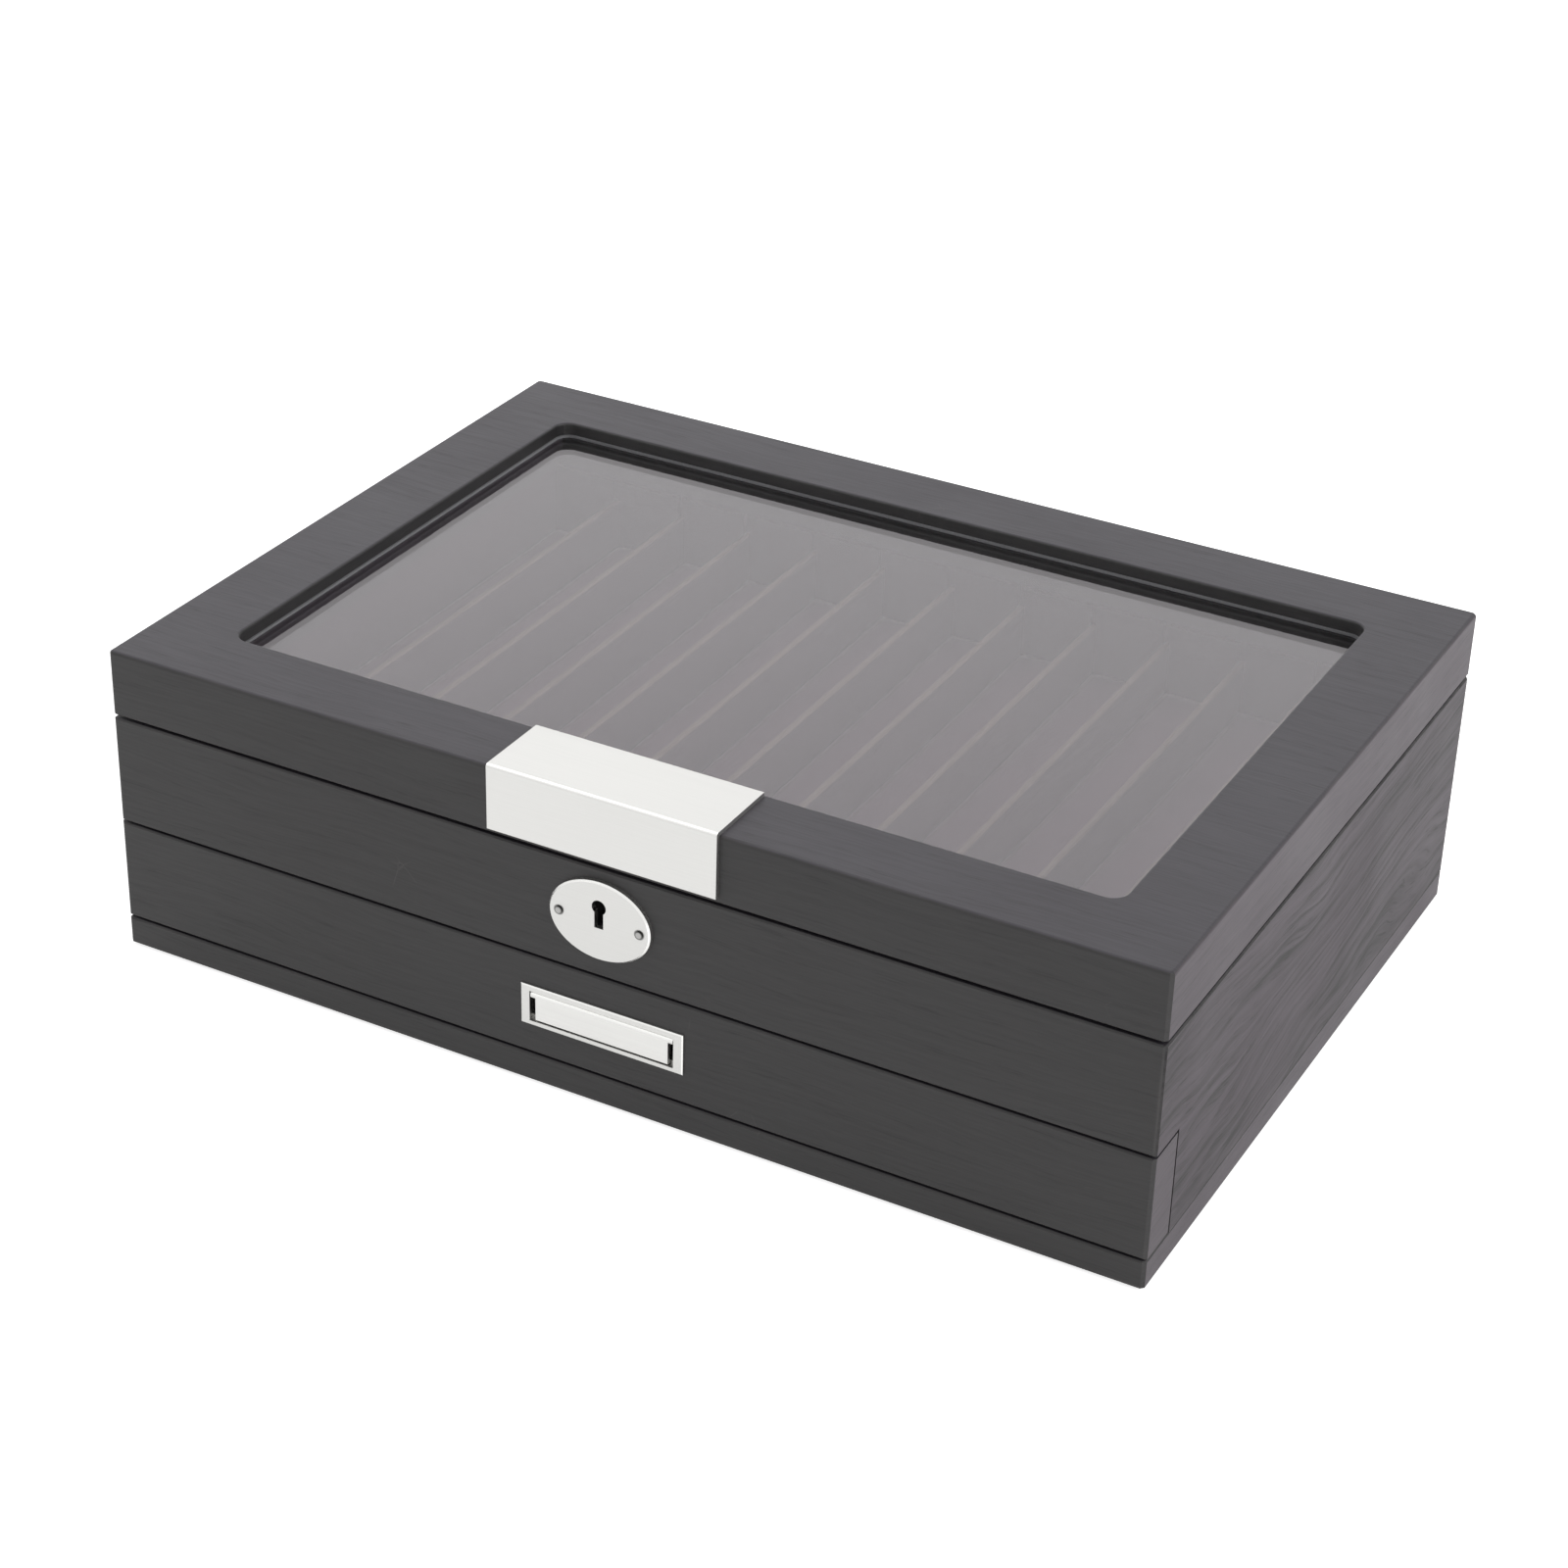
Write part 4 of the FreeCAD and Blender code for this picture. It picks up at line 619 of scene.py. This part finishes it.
def clear_glass(name):
    """Float glass with a little haze. Lamps pass straight through it."""
    look = settings("chest_glass")
    material, tree, shader = new_material(name, base_color=look.tint, transmission_weight=look.clarity,
                                          ior=1.62, specular_tint=look.sheen)
    hand = effect(tree, "Handling", {"Place": place_of(tree)["Object"]})
    haze = remap(tree, hand["Smear"], low=0.0, high=1.0, out_low=0.0, out_high=HAZE)
    connect(tree, shader, {"Roughness": haze})
    through = add_node(tree, "BsdfTransparent", {"Color": (*shaded(look.tint, LAMPLIGHT_IN), 1)})
    path = add_node(tree, "LightPath")
    mixed = add_node(tree, "MixShader", {0: path.outputs["Is Shadow Ray"], 1: shader.outputs[0],
                                         2: through.outputs[0]})
    tree.links.new(mixed.outputs[0], tree.nodes["Material Output"].inputs["Surface"])
    return material


CLOUD_PALE = 1.25  # the colour of a pale patch, as a share of the plastic's
CLOUD_SHOWS = 0.4  # how much of that colour shows
SKIN_SMOOTHER, SKIN_ROUGHER = 0.05, 0.1  # how far the skin varies the roughness down and up


def moulded(name, tint, roughness):
    """Plastic or rubber with a fine moulded skin."""
    material, tree, shader = new_material(name)
    place = place_of(tree)["Object"]
    skin = mottle(tree, place, scale=900.0)
    cloud = mottle(tree, place, scale=40.0, detail=3.0)
    clouded = remap(tree, cloud, low=0.3, high=0.7, out_low=0.0, out_high=CLOUD_SHOWS)
    body = mix_colour(tree, clouded, tint, shaded(tint, CLOUD_PALE))
    rough = remap(tree, skin, low=0.3, high=0.7, out_low=roughness - SKIN_SMOOTHER,
                  out_high=roughness + SKIN_ROUGHER)
    relief = bump(tree, skin, distance=0.02 * MM, strength=0.4)
    return finished(material, tree, shader, body, rough, relief)


def finish_with(material, *nodes):
    for name in nodes:
        slots = NODES[name].data.materials
        slots.clear()
        slots.append(material)


# ---------------------------------------------------------------- mesh helpers

def piece_from(mesh_builder, name, material, body, slot, *replaced):
    """A bmesh made into a named object that rides on a body and stands for its CAD nodes."""
    mesh = bpy.data.meshes.new(name)
    mesh_builder.to_mesh(mesh)
    mesh_builder.free()
    piece = bpy.data.objects.new(name, mesh)
    bpy.context.scene.collection.objects.link(piece)
    mesh.materials.append(material)
    mesh.shade_smooth()
    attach(piece, body)
    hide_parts(*replaced)
    return piece


def box_mesh(low, high):
    """A bmesh box between two corners."""
    box = bmesh.new()
    bmesh.ops.create_cube(box, size=1)
    bmesh.ops.scale(box, vec=high - low, verts=box.verts)
    bmesh.ops.translate(box, vec=(low + high) / 2, verts=box.verts)
    return box


def edges_along(mesh_builder, axis, over):
    """The edges that reach further than a length along one axis."""
    return [edge for edge in mesh_builder.edges
            if abs(edge.verts[0].co[axis] - edge.verts[1].co[axis]) > over]


def rounded(mesh_builder, edges, radius, segments):
    bmesh.ops.bevel(mesh_builder, geom=edges, offset=radius, offset_type="OFFSET", segments=segments,
                    profile=0.5, affect="EDGES", material=-1)


# ---------------------------------------------------------------- operators

SIDE_GRAIN = {"figure": 0.62, "streak_mm": 2.0, "waviness": 1.5, "ring_mm": 4.4, "gloss": 0.27}
CASE_BOARDS = {
    "base_board": ("Base Veneer", {"heart": (0.06, 0.004, 0.01), "figure": 0.1}),
    "side_panel_left": ("Left Side Veneer", {"heart": (0.24, -0.005, 0.0), **SIDE_GRAIN}),
    "side_panel_right": ("Right Side Veneer", {"heart": (-0.25, -0.005, 0.0), **SIDE_GRAIN}),
    "front_panel": ("Front Panel Veneer", {"heart": (0.11, -0.120, 0.0), "figure": 0.1,
                                           "streak_mm": 0.9}),
    "back_panel": ("Back Panel Veneer", {"heart": (-0.08, -0.045, 0.0), "figure": 0.45,
                                         "streak_mm": 1.6, "waviness": 0.8, "gloss": 0.3}),
}


class CHEST_OT_case_veneer(bpy.types.Operator):
    """Veneer the case: base, sides, front and back"""
    bl_idname = "chest.case_veneer"
    bl_label = "Case veneer"

    def execute(self, context):
        for node, (name, grain) in CASE_BOARDS.items():
            finish_with(veneer(name, node, **grain), node)
        return {"FINISHED"}


class CHEST_OT_lid_veneer(bpy.types.Operator):
    """Veneer the lid frame and the beads that hold its glass"""
    bl_idname = "chest.lid_veneer"
    bl_label = "Lid veneer"

    def execute(self, context):
        frame_veneer = veneer("Lid Veneer", "lid_frame", heart=(0.03, 0.35, 0.0), figure=0.12,
                              streak_mm=0.9)
        finish_with(frame_veneer, "lid_frame")
        for side in ("front", "back", "left", "right"):
            node = f"glazing_bead_{side}"
            finish_with(veneer(f"Bead Veneer {side.title()}", node, heart=(0.2, 0.01, 0.02)), node)
        return {"FINISHED"}


class CHEST_OT_drawer_veneer(bpy.types.Operator):
    """Veneer the drawer front"""
    bl_idname = "chest.drawer_veneer"
    bl_label = "Drawer front veneer"

    def execute(self, context):
        front_veneer = veneer("Drawer Front Veneer", "drawer_front", heart=(-0.15, -0.085, 0.0),
                              figure=0.1, streak_mm=0.9)
        finish_with(front_veneer, "drawer_front")
        return {"FINISHED"}


class CHEST_OT_inner_wood(bpy.types.Operator):
    """Finish the tray, the drawer box and the deck"""
    bl_idname = "chest.inner_wood"
    bl_label = "Inner wood"

    def execute(self, context):
        look = settings("chest_inner_wood")
        dark = inner_wood("Dark Inner Wood", heart=(0.1, 0.02, 0.0), tint=look.dark)
        finish_with(dark, "deck_board", "tray_wall_front", "tray_wall_back", "tray_wall_left",
                    "tray_wall_right", "tray_floor")
        divider = inner_wood("Divider Wood", heart=(0.0, -0.05, 0.01), tint=look.dark,
                             upward_tint=look.tan, front_to_back=True)
        finish_with(divider, "tray_dividers", "drawer_dividers")
        side = inner_wood("Drawer Side Wood", heart=(0.1, 0.01, 0.02), tint=look.pale,
                          front_to_back=True)
        finish_with(side, "drawer_side_left", "drawer_side_right", "drawer_runner_left",
                    "drawer_runner_right")
        box = inner_wood("Drawer Box Wood", heart=(0.3, 0.01, 0.02), tint=look.pale)
        finish_with(box, "drawer_back", "drawer_bottom", "drawer_stop_cleat")
        return {"FINISHED"}


# brush marks, in waves per metre along the width, the depth and the height
FINE_BRUSH = (22.0, 2600.0, 2600.0)
COARSE_BRUSH = (22.0, 900.0, 900.0)
SMALL_HEADS = (400.0, 400.0, 400.0)
SCREW_HEADS = (900.0, 900.0, 900.0)
RING_BESIDE_PIN = 0.15 * MM  # how far outside a pin the escutcheon's ring of painted shade and grime runs


class CHEST_OT_fittings(bpy.types.Operator):
    """Finish the metal fittings: lid plate, escutcheon, pull, hinges, lock and screws"""
    bl_idname = "chest.fittings"
    bl_label = "Metal fittings"

    def execute(self, context):
        look = settings("chest_metal")
        radius = pin_head()[0]

        def satin(name, brush, shade=1.0, shade_and_grime_ring=0):
            return brushed_metal(name, shaded(look.satin, shade), look.satin_roughness, brush, shade_and_grime_ring)

        def steel(name, brush):
            return brushed_metal(name, look.plain, look.plain_roughness, brush)

        finish_with(satin("Lid Plate Metal", FINE_BRUSH), "lid_plate")
        finish_with(satin("Escutcheon Metal", FINE_BRUSH, shade=0.96, shade_and_grime_ring=radius + RING_BESIDE_PIN),
                    "escutcheon")
        finish_with(satin("Pull Metal", FINE_BRUSH), "pull_plate")
        finish_with(satin("Pull Flap Metal", COARSE_BRUSH, shade=1.12), "pull_flap")
        # the pin heads are a darker copy of the satin metal: painted shade, as of heads sunk in dimples
        finish_with(satin("Pin Metal", SMALL_HEADS, shade=0.6, shade_and_grime_ring=radius), "escutcheon_pins")
        finish_with(steel("Hinge Steel", FINE_BRUSH), "hinge_left_case_leaf", "hinge_left_lid_leaf",
                    "hinge_right_case_leaf", "hinge_right_lid_leaf", "hinge_left_pin",
                    "hinge_right_pin", "pull_pin")
        finish_with(steel("Lock Steel", FINE_BRUSH), "lock_case", "lock_cover", "lock_bolt",
                    "lock_spring", "strike_plate")
        finish_with(steel("Screw Steel", SCREW_HEADS), "hinge_case_screws", "hinge_lid_screws",
                    "lock_screws", "strike_screws", "pull_screws", "drawer_stop_screw")
        return {"FINISHED"}


class CHEST_OT_glazing(bpy.types.Operator):
    """Finish the glass and its seal"""
    bl_idname = "chest.glazing"
    bl_label = "Glazing"

    def execute(self, context):
        finish_with(clear_glass("Clear Glass"), "glass_pane")
        seal = settings("chest_glass").seal
        finish_with(moulded("Seal Plastic", tint=seal, roughness=0.4), "glass_seal")
        return {"FINISHED"}


SLOTS = 12              # pen slots in the tray, and as many in the drawer
PAD_CUTS = (9, 60)      # cuts over a pad's width and its length
PAD_RIM = 4 * MM        # over this width a pad's top rises from its rim
PAD_LOW = 0.25 * MM     # how far a pad starts below its space's top, as room to swell
WRINKLE = 0.10 * MM     # how deep a wrinkle is
WRINKLES = 130          # waves per metre
UNDERSIDE = 0.1 * MM    # a point this close to a pad's lowest level is held
MOST_SHIFT = 0.4 * MM   # how far the simulation may move a point


class CHEST_OT_slot_pads(bpy.types.Operator):
    """Fill every pen slot with a soft velvet pad"""
    bl_idname = "chest.slot_pads"
    bl_label = "Slot pads"

    def execute(self, context):
        look = settings("chest_soft")
        velvet = pile_fabric("Velvet", look.velvet, fibre=1500.0, sheen=0.12, depth=0.02 * MM,
                             fleck=0.25)
        for node, body in (("tray_pads", "case"), ("drawer_pads", "drawer")):
            low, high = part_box(node)
            pitch = self.pitch(node)
            wide = high.x - low.x - (SLOTS - 1) * pitch
            pad = self.one_pad(low, Vector((low.x + wide, high.y, high.z)), look)
            row = bmesh.new()
            row.from_mesh(pad)
            bpy.data.meshes.remove(pad)
            first = list(row.verts) + list(row.edges) + list(row.faces)
            for index in range(1, SLOTS):
                copied = bmesh.ops.duplicate(row, geom=first)["geom"]
                verts = [item for item in copied if isinstance(item, bmesh.types.BMVert)]
                bmesh.ops.translate(row, vec=(index * pitch, 0, 0), verts=verts)
            piece = piece_from(row, f"{node}_velvet", velvet, body, "lining", node)
        return {"FINISHED"}

    def pitch(self, node):
        """Distance from pad to pad, from the pen slots that the record states."""
        kind = node.replace("_pads", "_slot")
        boxes = {entry["name"]: entry["box_m"] for entry in frame["record"]["physics"]["openings"]}
        return (boxes[f"{kind}_{SLOTS}"][0][0] - boxes[f"{kind}_1"][0][0]) / (SLOTS - 1)

    def one_pad(self, low, high, look):
        """A thin closed pad, filled by a short cloth simulation and kept within its space."""
        pad = box_mesh(low, high)
        cuts_across, cuts_along = PAD_CUTS
        for axis, over, cuts in ((1, MM, cuts_along), (0, 5 * MM, cuts_across)):
            bmesh.ops.subdivide_edges(pad, edges=edges_along(pad, axis, over), cuts=cuts,
                                      use_grid_fill=True)
        for vert in pad.verts:
            if vert.co.z > (low.z + high.z) / 2:
                rim = min(vert.co.x - low.x, high.x - vert.co.x, vert.co.y - low.y, high.y - vert.co.y)
                rise = min(1, rim / PAD_RIM)
                wrinkle = noise.noise(vert.co * WRINKLES) * WRINKLE * rise
                vert.co.z = high.z - look.pad_crown * (1 - rise) ** 2 - PAD_LOW + wrinkle
        bmesh.ops.recalc_face_normals(pad, faces=pad.faces)
        mesh = bpy.data.meshes.new("pad_start")
        pad.to_mesh(mesh)
        pad.free()
        self.fill(mesh, low, high, look)
        return mesh

    def fill(self, mesh, low, high, look):
        """Swells the pad with inner pressure, its underside held."""
        work = bpy.data.objects.new("pad_work", mesh)
        scene = bpy.context.scene
        scene.collection.objects.link(work)
        pinned = work.vertex_groups.new(name="pinned")
        underside = [vert.index for vert in mesh.vertices if vert.co.z < low.z + UNDERSIDE]
        pinned.add(underside, 1.0, "REPLACE")
        cloth = work.modifiers.new("cloth", "CLOTH").settings
        cloth.vertex_group_mass = "pinned"
        cloth.use_pressure = True
        cloth.uniform_pressure_force = look.pressure
        cloth.quality = 6
        cloth.tension_stiffness = 20
        cloth.compression_stiffness = 20
        cloth.effector_weights.gravity = 0
        for step in range(1, look.steps + 1):
            scene.frame_set(step)
        evaluated = work.evaluated_get(bpy.context.evaluated_depsgraph_get())
        places = []
        for vert, settled in zip(mesh.vertices, evaluated.to_mesh().vertices):
            shift = settled.co - vert.co
            if shift.length > MOST_SHIFT:
                shift = shift.normalized() * MOST_SHIFT
            place = vert.co + shift
            places.append([max(low[axis], min(high[axis], place[axis])) for axis in range(3)])
        evaluated.to_mesh_clear()
        work.modifiers.clear()
        scene.frame_set(1)
        for vert, place in zip(mesh.vertices, places):
            vert.co = place
        bpy.data.objects.remove(work)


FELT_CORNER = 6 * MM  # the radius of the sheet's corners
FELT_RIM = 0.3 * MM   # how far its edges are broken
SHARP = 1.2           # the angle between two faces, in radians, past which their edge is broken
FLAT = 0.99           # a face is level where its normal passes this


class CHEST_OT_base_felt(bpy.types.Operator):
    """Lay the felt sheet under the base"""
    bl_idname = "chest.base_felt"
    bl_label = "Base felt"

    def execute(self, context):
        felt = pile_fabric("Base Felt", settings("chest_soft").felt, fibre=1100.0, sheen=0.15,
                           depth=0.15 * MM)
        low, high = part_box("base_felt")
        sheet = box_mesh(low, high)
        rounded(sheet, edges_along(sheet, axis=2, over=0.5 * MM), radius=FELT_CORNER, segments=6)
        rim = [edge for edge in sheet.edges if edge.calc_face_angle(0) > SHARP]
        rounded(sheet, rim, radius=FELT_RIM, segments=2)
        piece = piece_from(sheet, "base_felt_sheet", felt, "case", "felt", "base_felt")
        for face in piece.data.polygons:
            face.use_smooth = abs(face.normal.z) < FLAT
        return {"FINISHED"}


# a bumper's outline from its foot to its top, as shares of its radius and its height
DOME = ((0, 0), (1, 0), (1, 0.35), (0.9, 0.7), (0.6, 0.93), (0, 1))


class CHEST_OT_bumpers(bpy.types.Operator):
    """Set the two domed lid bumpers and finish the drawer's stop button"""
    bl_idname = "chest.bumpers"
    bl_label = "Lid bumpers"

    def execute(self, context):
        low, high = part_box("lid_bumpers")
        radius = (high.y - low.y) / 2
        middle = (low.y + high.y) / 2
        tall = high.z - low.z
        domes = bmesh.new()
        for across in (low.x + radius, high.x - radius):
            points = [domes.verts.new((across + out * radius, middle, low.z + up * tall))
                      for out, up in DOME]
            edges = [domes.edges.new(pair) for pair in zip(points, points[1:])]
            bmesh.ops.spin(domes, geom=points + edges, cent=(across, middle, low.z), axis=(0, 0, 1),
                           angle=math.tau, steps=32, use_merge=True)
        bmesh.ops.remove_doubles(domes, verts=domes.verts, dist=0.001 * MM)
        bmesh.ops.recalc_face_normals(domes, faces=domes.faces)
        rubber = moulded("Bumper Rubber", tint=(0.05, 0.05, 0.05), roughness=0.5)
        piece_from(domes, "lid_bumpers_domed", rubber, "case", "bumper", "lid_bumpers")
        plastic = moulded("Stop Plastic", tint=(0.10, 0.10, 0.10), roughness=0.45)
        finish_with(plastic, "drawer_stop_button")
        return {"FINISHED"}


# each lamp's setting, the side of its square and its place, in metres
LAMPS = {
    "Key Light": ("key_power", 1.3, (1.5, 0.1, 0.9)),
    "Back Light": ("back_power", 1.5, (-0.57, 1.08, 0.80)),
    "Top Light": ("top_power", 1.4, (-0.7, 0.08, 1.45)),
}
LAMP_TARGET = (0, 0, 0.05)
CAMERA_PLACE = (0.42555, -0.82053, 0.57799)
CAMERA_TURN = (27.765, 29.797, 1.744)  # to the left, down and rolled, in degrees
FLOOR_REACH = 20                       # to each side, in metres
FLOOR_GLOW = 0.80                      # what the floor adds, so that it shows nearly white
FLOOR_DROP = 0.2 * MM                  # keeps the floor clear of the felt


class CHEST_OT_stage(bpy.types.Operator):
    """Make the floor, the soft lights and the camera"""
    bl_idname = "chest.stage"
    bl_label = "Stage"

    def execute(self, context):
        look = settings("chest_stage")
        self.floor(look)
        self.world(look)
        for name, (setting, size, place) in LAMPS.items():
            self.soft_light(name, getattr(look, setting), size, Vector(place))
        self.camera(look)
        context.scene.view_settings.view_transform = "Standard"
        return {"FINISHED"}

    def seen_directly(self, tree):
        """1 where the eye meets the backdrop, mirrored or through glass too, 0 where it only lights."""
        path = add_node(tree, "LightPath").outputs
        straight = math_node(tree, "MAXIMUM", path["Is Camera Ray"], path["Is Glossy Ray"])
        straight = math_node(tree, "MAXIMUM", straight, path["Is Transmission Ray"])
        return times(tree, straight, math_node(tree, "LESS_THAN", path["Diffuse Depth"], 0.5))

    def floor(self, look):
        """A pale floor that shows nearly white and is clear from below."""
        ground = bmesh.new()
        bmesh.ops.create_grid(ground, x_segments=1, y_segments=1, size=FLOOR_REACH,
                              matrix=Matrix.Translation((0, 0, -FLOOR_DROP)))
        mesh = bpy.data.meshes.new("floor")
        ground.to_mesh(mesh)
        ground.free()
        floor = bpy.data.objects.new("floor", mesh)
        bpy.context.scene.collection.objects.link(floor)
        material, tree, shader = new_material("Pale Floor", base_color=look.floor, roughness=0.9,
                                              specular_ior_level=0.1)
        strength = times(tree, self.seen_directly(tree), FLOOR_GLOW)
        glow = add_node(tree, "Emission", {"Color": (1, 1, 1, 1), "Strength": strength})
        both = add_node(tree, "AddShader", {0: shader.outputs[0], 1: glow.outputs[0]})
        below = add_node(tree, "NewGeometry").outputs["Backfacing"]
        clear = add_node(tree, "BsdfTransparent")
        shown = add_node(tree, "MixShader", {0: below, 1: both.outputs[0], 2: clear.outputs[0]})
        tree.links.new(shown.outputs[0], tree.nodes["Material Output"].inputs["Surface"])
        mesh.materials.append(material)

    def world(self, look):
        world = bpy.data.worlds.new("Studio")
        world.use_nodes = True
        bpy.context.scene.world = world
        tree = world.node_tree
        strength = remap(tree, self.seen_directly(tree), low=0.0, high=1.0, out_low=look.ambient,
                         out_high=1.0)
        connect(tree, tree.nodes["Background"], {"Color": (1, 1, 1, 1), "Strength": strength})

    def soft_light(self, name, energy, size, place):
        lamp = bpy.data.lights.new(name, "AREA")
        lamp.energy = energy
        lamp.size = size
        light = bpy.data.objects.new(name, lamp)
        light.location = place
        light.rotation_euler = (Vector(LAMP_TARGET) - place).to_track_quat("-Z", "Y").to_euler()
        light.visible_transmission = False  # its light already passes straight through the glass
        bpy.context.scene.collection.objects.link(light)

    def camera(self, look):
        """Looks down at the front right corner, rolled a little."""
        yaw, pitch, roll = (math.radians(angle) for angle in CAMERA_TURN)
        forward = Vector((-math.sin(yaw) * math.cos(pitch), math.cos(yaw) * math.cos(pitch),
                          -math.sin(pitch)))
        level = Vector((math.cos(yaw), math.sin(yaw), 0))
        up = level.cross(forward)
        right = math.cos(roll) * level + math.sin(roll) * up
        above = math.cos(roll) * up - math.sin(roll) * level
        lens = bpy.data.cameras.new("camera")
        lens.lens = look.lens
        lens.sensor_width = 36
        camera = bpy.data.objects.new("camera", lens)
        turned = Matrix((right, above, -forward)).transposed().to_4x4()
        camera.matrix_world = Matrix.Translation(CAMERA_PLACE) @ turned
        bpy.context.scene.collection.objects.link(camera)
        bpy.context.scene.camera = camera


OPERATORS = (
    CHEST_OT_case_veneer, CHEST_OT_lid_veneer, CHEST_OT_drawer_veneer, CHEST_OT_inner_wood,
    CHEST_OT_fittings, CHEST_OT_glazing, CHEST_OT_slot_pads, CHEST_OT_base_felt, CHEST_OT_bumpers,
    CHEST_OT_stage,
)


class CHEST_PT_sidebar(bpy.types.Panel):
    """Lists the chest's pieces and their settings"""
    bl_idname = "CHEST_PT_sidebar"
    bl_label = "Pen Chest"
    bl_space_type = "VIEW_3D"
    bl_region_type = "UI"
    bl_category = "Pen Chest"

    def draw(self, context):
        for operator in OPERATORS:
            self.layout.operator(operator.bl_idname)
        for name in SETTINGS:
            group = getattr(context.scene, name)
            box = self.layout.box()
            for key in group.__annotations__:
                box.prop(group, key)


CLASSES = (*SETTINGS.values(), *OPERATORS, CHEST_PT_sidebar)


def register():
    for item in CLASSES:
        bpy.utils.register_class(item)
    for name, group in SETTINGS.items():
        setattr(bpy.types.Scene, name, PointerProperty(type=group))


def unregister():
    for name in SETTINGS:
        delattr(bpy.types.Scene, name)
    for item in reversed(CLASSES):
        bpy.utils.unregister_class(item)


def main():
    register()
    for operator in OPERATORS:
        getattr(bpy.ops.chest, operator.bl_idname.split(".")[1])()


if __name__ == "__main__":
    main()
